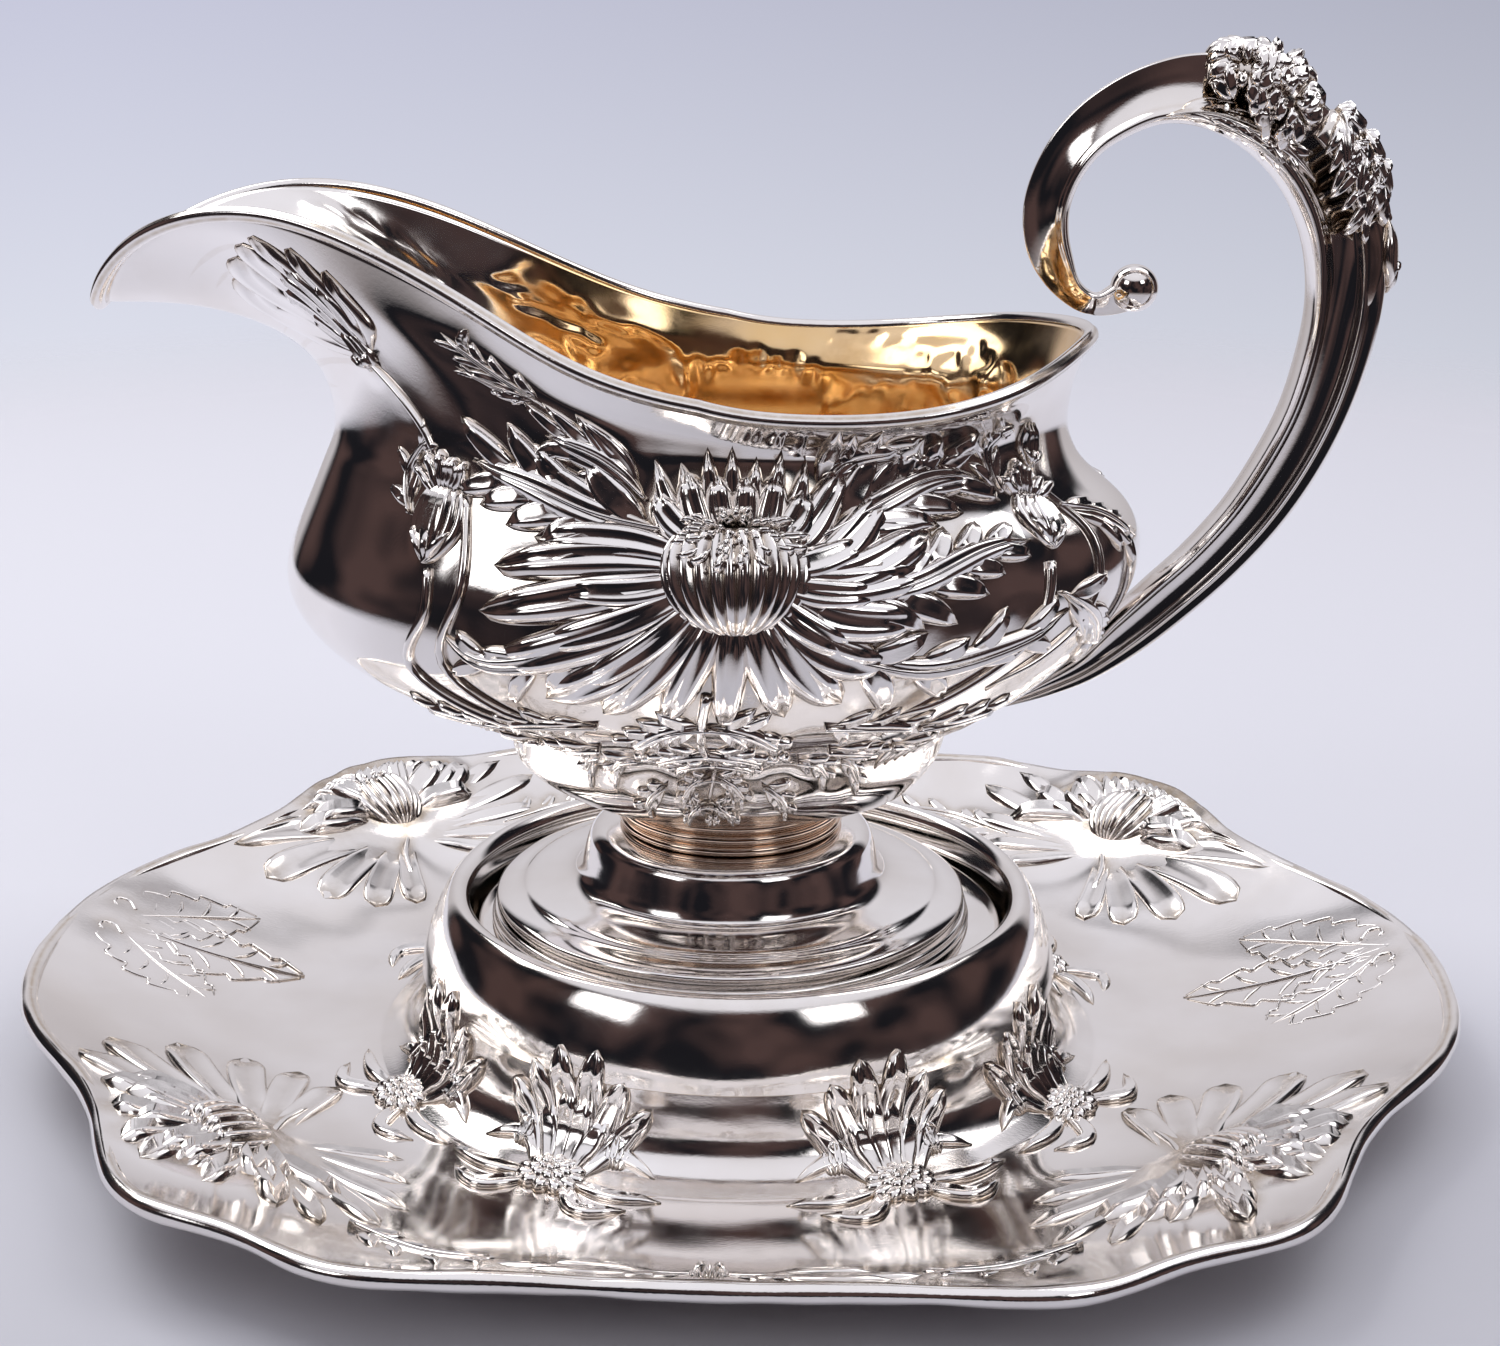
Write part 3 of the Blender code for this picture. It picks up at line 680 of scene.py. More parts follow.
def noise(tree, place, scale, detail=3.0, roughness=0.5):
    made = node(tree, "ShaderNodeTexNoise", {"Vector": place, "Scale": scale, "Detail": detail,
                                             "Roughness": roughness})
    return made.outputs["Fac"]


def ranged(tree, value, low, high, to_low, to_high):
    made = node(tree, "ShaderNodeMapRange", {"Value": value, "From Min": low, "From Max": high,
                                             "To Min": to_low, "To Max": to_high})
    return made.outputs["Result"]


def blended(tree, factor, first, second):
    return node(tree, "ShaderNodeMix", {0: factor, 6: first, 7: second}, data_type="RGBA").outputs[2]


def reckoned(tree, operation, first, second, clamped=False):
    """One step of shader arithmetic."""
    made = node(tree, "ShaderNodeMath", {0: first, 1: second}, operation=operation, use_clamp=clamped)
    return made.outputs[0]


BRIGHT = (0.955, 0.925, 0.905, 1.0)
WARM = (0.52, 0.42, 0.31, 1.0)
TONING = 0.85                    # how far the tarnish goes in the deepest recess


def silver(name, bright, warm, roughness=0.07, hammer=0.05, scratch=0.03, gilt=None):
    """Polished silver: warm tarnish in the recesses, planishing waves, hairline wear, perhaps a gold wash."""
    material = bpy.data.materials.new(name)
    material.use_nodes = True
    tree = material.node_tree
    shader = tree.nodes["Principled BSDF"]
    shader.inputs["Metallic"].default_value = 1.0
    place = node(tree, "ShaderNodeTexCoord").outputs["Object"]
    tone = node(tree, "ShaderNodeAttribute", attribute_name="tone").outputs["Fac"]
    cloud = noise(tree, place, 38.0, 4.0)
    speck = noise(tree, place, 420.0, 3.0, 0.7)
    patch = ranged(tree, cloud, 0.35, 0.7, 0.0, 0.22)
    recess = reckoned(tree, "MULTIPLY", tone, ranged(tree, speck, 0.3, 0.6, 0.55, 1.0))
    recess = reckoned(tree, "MULTIPLY", recess, TONING)
    amount = reckoned(tree, "ADD", recess, patch, clamped=True)
    colour = blended(tree, amount, bright, warm)
    if gilt is not None:
        wash = node(tree, "ShaderNodeAttribute", attribute_name="gilt").outputs["Fac"]
        thin = ranged(tree, noise(tree, place, 90.0, 3.0), 0.3, 0.7, 0.82, 1.0)
        wash = reckoned(tree, "MULTIPLY", wash, thin, clamped=True)
        colour = blended(tree, wash, colour, blended(tree, amount, gilt, (0.50, 0.27, 0.09, 1.0)))
    tree.links.new(colour, shader.inputs["Base Color"])
    worn = ranged(tree, noise(tree, place, 160.0, 5.0, 0.65), 0.35, 0.75, roughness * 0.7, roughness * 1.7)
    rough = reckoned(tree, "ADD", worn, ranged(tree, recess, 0.0, 1.0, 0.0, 0.16))
    tree.links.new(rough, shader.inputs["Roughness"])
    waves = node(tree, "ShaderNodeBump", {"Height": noise(tree, place, 55.0, 1.0), "Strength": hammer,
                                          "Distance": 0.002})
    stretched = node(tree, "ShaderNodeMapping", {"Vector": place, "Scale": (900.0, 2600.0, 1500.0)})
    hair = noise(tree, stretched.outputs[0], 1.0, 2.0, 0.8)
    fine = node(tree, "ShaderNodeBump", {"Height": hair, "Strength": scratch, "Distance": 0.0002,
                                         "Normal": waves.outputs[0]})
    tree.links.new(fine.outputs[0], shader.inputs["Normal"])
    return material


sheet_silver = silver("polished_sheet", BRIGHT, WARM)
spun_silver = silver("spun_sheet", BRIGHT, WARM, hammer=0.03)
chased_silver = silver("chased_sheet", (0.965, 0.935, 0.915, 1.0), (0.42, 0.31, 0.20, 1.0), roughness=0.08,
                       hammer=0.02)
tray_silver = silver("tray_sheet_silver", (0.93, 0.895, 0.875, 1.0), WARM, roughness=0.10, hammer=0.10,
                     scratch=0.06)
tray_chased = silver("tray_chased_silver", (0.95, 0.915, 0.89, 1.0), (0.34, 0.26, 0.18, 1.0), roughness=0.10,
                     hammer=0.04)
wire_silver = silver("drawn_wire", BRIGHT, WARM, roughness=0.09, hammer=0.12, scratch=0.08)
# The neck's brown-gold base colour is partly tarnish and partly painted reflection: the warm colour of light
# bounced to and fro between the reeds
neck_tone_and_reflection_silver = silver("neck_toned_with_painted_reflection", (0.82, 0.66, 0.54, 1.0), (0.34, 0.18, 0.08, 1.0), roughness=0.09)
cast_silver = silver("stamped_handle", BRIGHT, (0.42, 0.30, 0.18, 1.0), roughness=0.06, hammer=0.02)
gilt_silver = silver("gilt_lining", BRIGHT, WARM, roughness=0.12, hammer=0.05, gilt=(0.90, 0.62, 0.30, 1.0))

# ---------------------------------------------------------------- stand


def relief_map(marks, low, high, cell, blur):
    """A reader of the chased marks' heights, which are laid on a flat grid and blurred."""
    size = np.ceil((np.array(high) - low) / cell).astype(int) + 1
    table = np.zeros(size)
    dots = np.concatenate(marks)
    index = np.rint((dots[:, :2] - low) / cell).astype(int)
    inside = ((index >= 0) & (index < size)).all(axis=1)
    np.maximum.at(table, (index[inside, 0], index[inside, 1]), dots[inside, 2])
    reach = int(3 * blur / cell) + 1
    kernel = np.exp(-0.5 * (np.arange(-reach, reach + 1) * cell / blur) ** 2)
    kernel /= kernel.sum()
    for axis in (0, 1):
        table = np.apply_along_axis(lambda row: np.convolve(row, kernel, "same"), axis, table)

    def read(s, t):
        fs = np.clip((s - low[0]) / cell, 0, size[0] - 1.001)
        ft = np.clip((t - low[1]) / cell, 0, size[1] - 1.001)
        i, j = fs.astype(int), ft.astype(int)
        a, b = fs - i, ft - j
        return ((table[i, j] * (1 - b) + table[i, j + 1] * b) * (1 - a)
                + (table[i + 1, j] * (1 - b) + table[i + 1, j + 1] * b) * a)
    return read


def corner_flower(relief, side_x, side_y):
    """A half-open chrysanthemum in one corner lobe, its long petals lying in the basin."""
    hub = (73.0 * side_x, (54.0 if side_y < 0 else 74.0) * side_y)
    out = math.degrees(math.atan2(side_y * 1.0, side_x * 0.9))
    end = 0.0 if side_x > 0 else 180.0
    turn = 1.0 if side_x * side_y > 0 else -1.0
    for aim, reach, wide in ((8, 36, 3.6), (24, 40, 3.9), (41, 38, 3.9), (58, 33, 3.7), (75, 29, 3.4),
                             (92, 25, 3.0)):
        angle = math.radians(out - turn * (52 + aim))
        bend = math.radians(-8 * turn)
        path = [(hub[0] + far * reach * math.cos(angle + bend * far),
                 hub[1] + far * reach * math.sin(angle + bend * far))
                for far in (0.1, 0.4, 0.7, 1.0)]
        relief.ribbon(path, wide * 1.08, 2.0, "tongue", "cup", across=11, stations=18)
    for aim, reach, wide in ((10, 34, 2.6), (24, 36, 2.8), (38, 32, 2.6), (54, 26, 2.4), (72, 22, 2.2)):
        angle = math.radians(out + turn * (58 + aim))
        path = [(hub[0] + far * reach * math.cos(angle), hub[1] + far * reach * math.sin(angle))
                for far in (0.1, 0.4, 0.7, 1.0)]
        relief.ribbon(path, wide, 1.7, "petal", "vein", across=9, stations=16)
    slope = math.radians(out - 90)
    c, s = math.cos(slope), math.sin(slope)
    head = Relief(lambda u, v: relief.surface(hub[0] + c * u - s * v, hub[1] + s * u + c * v))
    strength = 1.5 if side_y < 0 else 1.7
    bloom(head, (0, 4), 90, 180, 12, 24.0, 3.5, 2.4 * strength, start=3.0, across=9)
    bloom(head, (0, 4), 90, 150, 10, 19.0, 3.4, 3.2 * strength, start=2.5, across=9)
    globe(head, (0, 9), (9.4, 8.0), 4.4 * strength, 11, rows=20)
    for count, reach in ((13, 8.6), (9, 5.6), (5, 2.8)):
        for k in range(count):
            around = 2 * math.pi * (k + 0.4 * rng.random()) / count
            tip = (reach * math.cos(around), 12.5 + 0.62 * reach * math.sin(around))
            root = (0.45 * reach * math.cos(around), 12.5 + 0.3 * reach * math.sin(around))
            head.ribbon([root, tip], 1.25, 1.9, "petal", "dome", across=7, stations=8,
                        lift=(3.4 - 0.25 * reach) * strength)
    relief.absorb(head, hub, slope)
    inward = math.radians(out + 180)
    stem_end = (hub[0] + 16 * math.cos(inward + 0.5 * turn), hub[1] + 16 * math.sin(inward + 0.5 * turn))
    stems(relief, [hub, ((hub[0] + stem_end[0]) / 2 + side_x, (hub[1] + stem_end[1]) / 2), stem_end], 1.1,
          1.5)


def end_leaf(relief, side_x):
    """A low toothed leaf lying inward from each end of the stand, with scrolled eyes at the rim."""
    root = 119.0 * side_x
    for fan, reach, wide in ((-36, 30, 7.5), (0, 37, 8.5), (34, 30, 7.5)):
        turn = math.radians(180 + fan if side_x > 0 else fan)
        tip = (root + reach * math.cos(turn), 14.0 + reach * math.sin(turn))
        middle = (root + 0.5 * reach * math.cos(turn * 1.0), 14.0 + 0.55 * reach * math.sin(turn))
        outline_leaf(relief, [(root, 14.0), middle, tip], wide)
    for low in (9.5, 19.0):
        spiral = [(root - side_x * (1.5 + (2.6 - 0.42 * k) * math.cos(1.1 * k)),
                   low + (2.6 - 0.42 * k) * math.sin(1.1 * k))
                  for k in range(6)]
        relief.ribbon(spiral, 0.5, 0.8, "stem", "dome", across=5, stations=26, base=0.9)


def cove_chart():
    """Flat coordinates on the well's wall and cove: s round it at its mean radius, t down and outward."""
    wall = [(WELL_OUTER, 24.0), (WELL_OUTER + 1.3, 19.0)] + COVE + [(70.0, 1.1), (78.0, 1.2)]
    line = even_line(eased(wall, 2), 200)
    length = np.linspace(0, np.linalg.norm(np.diff(line, axis=0), axis=1).sum(), 200)
    ahead = np.gradient(line, axis=0)
    ahead /= np.linalg.norm(ahead, axis=1, keepdims=True)
    outward = np.stack([-ahead[:, 1], ahead[:, 0]], axis=1)

    def chart(s, t):
        angle = s / WELL_MEAN_RADIUS
        radius, height = (np.interp(t, length, line[:, k]) for k in (0, 1))
        nr, nz = (np.interp(t, length, outward[:, k]) for k in (0, 1))
        c, si = np.cos(angle), np.sin(angle)
        return (np.stack([radius * c, radius * si, height], axis=-1),
                np.stack([nr * c, nr * si, nz], axis=-1))
    return chart


def cove_cluster(relief, degrees):
    """Acanthus and small flowers that climb the well's wall below one diagonal."""
    middle = math.radians(degrees) * WELL_MEAN_RADIUS
    for off, top, bend, wide in ((-10.0, 12.5, -3, 2.5), (-6.5, 8.0, -2, 2.8), (-2.5, 4.5, -1, 2.9),
                                 (2.5, 4.0, 1, 2.9), (6.5, 8.5, 2, 2.8), (10.0, 13.0, 3, 2.5)):
        path = [(middle + 0.30 * off, 27.0), (middle + 0.75 * off, 0.5 * (27.0 + top)),
                (middle + off + bend, top)]
        relief.ribbon(path, wide, 1.6, "petal", "vein", across=11, stations=22, curl=0.5)
    for off, top, wide in ((-5.0, 14.0, 2.2), (-1.5, 11.0, 2.4), (2.0, 12.0, 2.4), (5.5, 15.0, 2.2)):
        relief.ribbon([(middle + 0.3 * off, 27.0), (middle + off, top)], wide, 2.3, "petal", "vein",
                      across=9, curl=0.4)
    for off in (-1, 1):
        for low, far, bend in ((24.0, 15.0, -3.0), (29.5, 17.0, 0.0), (33.0, 13.0, 2.0)):
            path = [(middle + 2 * off, 27.0), (middle + 0.55 * far * off, low + bend),
                    (middle + far * off, low)]
            relief.ribbon(path, 2.4, 1.3, "leaf", "vein", across=9, stations=18)
        bud_head(relief, (middle + 8.0 * off, 20.0), 90, 3.4, petals=5, height=2.0)
    for radius, count, height in ((5.6, 12, 1.6), (3.8, 9, 2.4), (2.0, 5, 3.0)):
        for k in range(count):
            turn = 2 * math.pi * k / count
            tip = (middle + radius * math.cos(turn), 27.5 + 0.85 * radius * math.sin(turn))
            relief.ribbon([(middle, 27.5), tip], 1.3, height, "petal", "dome", across=7, stations=9)


def make_stand():
    basin = Relief(basin_chart)
    for side_x in (-1, 1):
        for side_y in (-1, 1):
            corner_flower(basin, side_x, side_y)
        end_leaf(basin, side_x)
    for side_y in (-1, 1):
        for off in (-1, 1):
            leaf(basin, [(off * 2.0, 97 * side_y), (off * 9.0, 99 * side_y), (off * 17.0, 96 * side_y)], 3.0,
                 0.9, lobes=3)
        bud_head(basin, (0.0, 96 * side_y), 90 * side_y, 4.2, petals=5, height=1.8)
        for off in (-1, 1):
            for reach, low in ((24.0, 92.0), (33.0, 96.5), (27.0, 100.0)):
                path = [(off * 5.0, 96 * side_y), (off * 0.6 * reach, (low + 0.8) * side_y),
                        (off * reach, low * side_y)]
                basin.ribbon(path, 1.9, 1.1, "leaf", "vein", across=9, stations=20)
        for off in (-1, 1):
            leaf(basin, [(off * 54.0, 84 * side_y), (off * 42.0, 93 * side_y), (off * 29.0, 96 * side_y)],
                 4.2, 1.3)
    points, faces, tone = basin.mesh()
    piece("tray_chased_flowers", points, faces, "stand", "silver_sheet", tray_chased, ["tray"], tone=tone)

    cove = Relief(cove_chart())
    for degrees in (-115, -64, -150, -27, 65, 115, 150, 27):
        cove_cluster(cove, degrees)
    points, faces, tone = cove.mesh()
    piece("well_wall_acanthus", points, faces, "stand", "silver_sheet", chased_silver, ["tray"], tone=tone)

    angle = np.linspace(0, 2 * math.pi, TRAY_COLUMNS, endpoint=False)
    top = tray_profile_points(angle, 104)
    x, y = top[..., 0], top[..., 1]
    low, high = np.array([-130.0, -118.0]), np.array([130.0, 118.0])
    raised, sharp, broad = (relief_map(basin.marks, low, high, cell, blur)(x, y)
                            for cell, blur in ((0.5, 1.6), (0.5, 0.9), (1.0, 4.0)))
    away = smoothstep((np.hypot(x, y) - 60) / 12)
    ripple = 0.28 * np.sin(0.10 * x + 1.1) * np.sin(0.085 * y)
    ripple += 0.10 * np.sin(0.23 * x + 0.12 * y) * np.sin(0.19 * y + 2)
    top[..., 2] += 0.45 * np.minimum(raised, 2.5) + 0.9 * np.minimum(broad, 2.0) + ripple * away
    tone = np.clip(sharp * 1.1 - 0.05, 0, 0.9)
    under_radius = np.linspace(1, 0, 14)[:, None] * (tray_reach(angle) - TRAY_WIRE_RADIUS - 58.0) + 58.0
    under_height = np.maximum(basin_height(angle[None, :], under_radius) - TRAY_SHEET, 0.0)
    under = np.stack([under_radius * np.cos(angle), under_radius * np.sin(angle), under_height], axis=-1)
    inside = np.array([[57.4, 0.0], [55.0, 4.0], [54.2, 10.0], [54.6, 15.0]])
    lining = np.stack([inside[:, :1] * np.cos(angle), inside[:, :1] * np.sin(angle),
                       inside[:, 1:] + 0 * angle], axis=-1)
    rings = np.concatenate([top, under, lining])
    tones = np.concatenate([tone.ravel(), np.full((len(under) + len(lining)) * TRAY_COLUMNS, 0.3)])
    faces = [grid_faces(len(rings), TRAY_COLUMNS, closed_rows=True)[:, ::-1]]
    piece("tray_sheet", rings.reshape(-1, 3), faces, "stand", "silver_sheet", tray_silver, ["tray"],
          tone=tones)

    section = np.linspace(0, 2 * math.pi, 20, endpoint=False)
    bead = TRAY_WIRE_RADIUS * (1 - 0.13 * np.exp(-((section - 1.9) / 0.22) ** 2))[:, None]
    uneven = 0.34 * np.sin(23 * angle) * np.sin(7 * angle + 1) + 0.10 * np.sin(61 * angle + 2)
    middle = tray_reach(angle) - TRAY_WIRE_RADIUS - 0.25
    radius = middle + (bead + 0.35 * uneven) * np.cos(section)[:, None]
    height = TRAY_RIM_Z + (bead + 0.5 * uneven) * np.sin(section)[:, None] * 0.95
    wire = np.stack([radius * np.cos(angle), radius * np.sin(angle), height], axis=-1)
    tone = np.repeat(np.exp(-((section - 1.9) / 0.3) ** 2), TRAY_COLUMNS) * 0.8
    piece("tray_rim_moulding", wire.reshape(-1, 3), [grid_faces(20, TRAY_COLUMNS, closed_rows=True)[:, ::-1]],
          "stand", "silver_wire", wire_silver, ["tray_rim_wire"], tone=tone)

    shoulder = eased([(WELL_OUTER + 2.0, 15.0), (WELL_OUTER + 1.6, 18.0), (WELL_OUTER + 0.5, 22.0),
                      (WELL_OUTER - 1.3, 26.2), (WELL_OUTER - 3.4, 29.3), (WELL_OUTER - 5.2, 29.5),
                      (WELL_OUTER - 6.6, 28.2), (WELL_INNER, 25.6), (WELL_INNER, 22.0)], 3)
    profile = ([(WELL_OUTER + 1.0, 14.7)] + list(shoulder)
               + [(WELL_INNER, 21.0), (WELL_INNER, 19.4), (WELL_INNER - 0.6, 19.0), (42.4, 19.0),
                  (42.4, WELL_LEDGE_Z), (WELL_INNER, WELL_LEDGE_Z), (WELL_INNER + 1.0, 18.6),
                  (WELL_INNER + 1.0, 22.0), (WELL_OUTER - 2.5, 23.0), (WELL_OUTER + 0.2, 17.0)])
    turned("well_collar", profile[::-1], "stand", "silver_sheet", spun_silver, ["well_ring"], columns=360)

    edge = WELL_FLOOR_RADIUS
    floor = ([(0.4, WELL_FLOOR_Z), (10.0, WELL_FLOOR_Z), (24.0, WELL_FLOOR_Z), (36.0, WELL_FLOOR_Z),
              (edge - 2.4, WELL_FLOOR_Z)]
             + list(eased([(edge - 2.0, WELL_FLOOR_Z), (edge - 0.3, WELL_FLOOR_Z - 0.1),
                           (edge, WELL_FLOOR_Z - 1.4)], 3))
             + [(edge, 20.5), (edge, 19.4), (edge - 1.0, 19.4), (edge - 1.0, 21.6), (0.4, 21.6)])
    turned("well_plate", floor[::-1], "stand", "silver_sheet", spun_silver, ["well_floor"], columns=360,
           wobble=0.02)


# ---------------------------------------------------------------- boat


def bowl_chasing(relief):
    """The near side's flowers, leaves, buds and stems, in the bowl's flat coordinates."""
    flower = (6.0, 13.0)
    for tip, bend, wide in (((-33, 12), 2, 2.8), ((-34, 5), 0, 2.9), ((-32, -3), -2, 3.0),
                            ((-24, -8), -3, 3.0), ((-15, -10), -2, 2.7), ((-27, 17), 2, 2.7),
                            ((34, 5), -3, 3.0), ((30, -2), -4, 3.0), ((24, -8), -3, 2.9),
                            ((15, -10), -2, 2.6), ((36, 12), -2, 3.0), ((39, 19), -4, 3.0),
                            ((34, 26), -5, 2.8), ((27, 30), -4, 2.5), ((-5, -11), -1, 2.3),
                            ((5, -12), 0, 2.3)):
        middle = ((flower[0] + tip[0]) / 2, (flower[1] + tip[1]) / 2 + bend)
        relief.ribbon([flower, middle, tip], wide * 1.28, 3.0, "petal", "vein", across=13, stations=24)
    for tip, wide in (((-22, 9), 2.2), ((-24, 1), 2.3), ((-18, -5), 2.2), ((28, 9), 2.3), ((27, 17), 2.4),
                      ((24, 1), 2.3)):
        middle = ((flower[0] + tip[0]) / 2, (flower[1] + tip[1]) / 2 - 1.5)
        relief.ribbon([flower, middle, tip], wide * 1.3, 3.6, "petal", "vein", across=11, stations=20)
    leaf(relief, [(-5, 19), (-17, 21), (-29, 25), (-41, 28)], 8.5, 2.6, lobes=5)
    leaf(relief, [(-9, 24), (-17, 30), (-26, 33)], 6.0, 2.0, lobes=4)
    leaf(relief, [(-6, 6), (-18, 0), (-32, -3), (-41, 1)], 5.5, 2.0, lobes=4)
    leaf(relief, [(20, 18), (31, 23), (42, 27), (53, 27)], 8.0, 2.6, lobes=5)
    leaf(relief, [(19, 8), (32, 10), (45, 14), (56, 15)], 6.5, 2.3, lobes=5)
    leaf(relief, [(20, 24), (28, 31), (38, 34)], 5.5, 1.8, lobes=4)
    leaf(relief, [(22, 0), (36, -3), (50, -1), (62, 3)], 6.0, 2.1, lobes=4)
    chrysanthemum_head(relief, flower, 12.0, 7.4)

    bud_head(relief, (-45.5, 17), 88, 7.0, petals=6, height=3.0)
    bloom(relief, (-46, 20), 92, 110, 7, 8.5, 1.2, 2.0, section="dome", start=1.5, curl=0.8, across=7)
    leaf(relief, [(-52, 18), (-55, 25), (-50, 31)], 3.0, 1.3, lobes=3)
    stems(relief, [(-45, 10), (-44, 3), (-48, -6), (-40, -14), (-28, -17)], 1.0, 1.3)
    stems(relief, [(-41, 22), (-38, 8), (-41, -4), (-34, -12), (-24, -15)], 1.0, 1.3)
    stems(relief, [(-61, 41.5), (-55, 36), (-51, 31), (-49, 26)], 0.9, 1.2)
    for tip, middle, wide in (((-46, 64), (-51, 54), 3.4), ((-51, 68), (-56, 56), 3.9),
                              ((-58, 70.5), (-62, 57), 4.3),
                              ((-65, 68), (-69, 56), 4.6), ((-72, 64.5), (-76, 53), 4.8),
                              ((-78, 60), (-81, 49), 4.6)):
        root = (-60.0 - 0.12 * (tip[0] + 62), 42.0)
        relief.ribbon([root, middle, tip], wide, 1.5, "petal", "vein", across=13, stations=24)
    for tip, wide in (((-54, 60), 3.2), ((-60, 64), 3.6), ((-67, 61), 3.8), ((-73, 56), 3.8),
                      ((-64, 54), 3.2), ((-71, 50), 3.2)):
        relief.ribbon([(-60.5, 42.5), tip], wide, 2.1, "petal", "vein", across=11, stations=18)
    bud_head(relief, (-61.5, 44.0), 100, 4.4, petals=5, height=2.4)

    stems(relief, [(-12, 28), (-17, 33), (-22, 37), (-26, 42)], 0.6, 0.9)
    leaf(relief, [(-23, 38), (-28, 45), (-31, 53)], 3.8, 1.0, lobes=4, lobe_angle=52)
    leaf(relief, [(-24, 40), (-30, 41), (-35, 45)], 2.4, 0.9, lobes=3)

    bud_head(relief, (61, 18), 70, 6.0, petals=5, height=2.8)
    bloom(relief, (62, 21), 75, 120, 7, 8.0, 1.3, 1.8, section="dome", start=1.5, curl=0.8, across=7)
    bud_head(relief, (67.5, 31), 80, 4.2, petals=4, height=2.2)
    stems(relief, [(58, 11), (55, 0), (46, -8), (36, -13)], 1.0, 1.3)
    stems(relief, [(66, 27), (70, 14), (66, 0), (52, -10)], 0.9, 1.1)
    leaf(relief, [(68, 20), (76, 16), (82, 10)], 4.5, 1.5, lobes=4)
    leaf(relief, [(60, 6), (70, 0), (78, -8)], 4.5, 1.5, lobes=4)
    leaf(relief, [(57, 24), (56, 31), (60, 36)], 3.4, 1.3, lobes=3)
    lower_leaves(relief)


def lower_leaves(relief):
    """Crowded acanthus below the belly, thickest under the flower."""
    stems(relief, [(2, -6), (1, -16), (4, -27), (2, -40)], 1.1, 1.4)
    for k, (s, t) in enumerate(((2, -12), (2, -19), (3, -26), (3, -33), (2, -39))):
        size = 15 - 1.6 * k
        for side in (-1, 1):
            path = [(s, t), (s + side * 0.5 * size, t - 1.0), (s + side * size, t - 6.0)]
            leaf(relief, path, 3.6 - 0.3 * k, 1.7, lobes=4)
    for side in (-1, 1):
        for s, t, reach, drop in ((20, -13, 20, -3), (24, -21, 15, -7), (21, -29, 12, -8), (14, -36, 9, -7),
                                  (40, -17, 18, 1), (40, -24, 12, -8), (34, -32, 9, -8)):
            path = [(3 + side * s, t), (3 + side * (s + 0.5 * reach), t + 0.3 * drop),
                    (3 + side * (s + reach), t + drop)]
            leaf(relief, path, 3.4, 1.4, lobes=3)
        for k in range(5):
            s = 3 + side * (49 + 3.4 * k)
            relief.ribbon([(s, -24), (s + side * 1.5, -31), (s - side * 1.0, -38)], 1.1, 0.9, "petal",
                          "dome", across=7)
    for s, t in ((-6, -30), (10, -30), (-3, -37), (9, -37), (-12, -23), (17, -23), (3, -44)):
        for k in range(6):
            turn = 2 * math.pi * k / 6 + s
            relief.ribbon([(s, t), (s + 2.6 * math.cos(turn), t + 2.6 * math.sin(turn))], 0.9, 1.3, "petal",
                          "dome", across=5, stations=6)


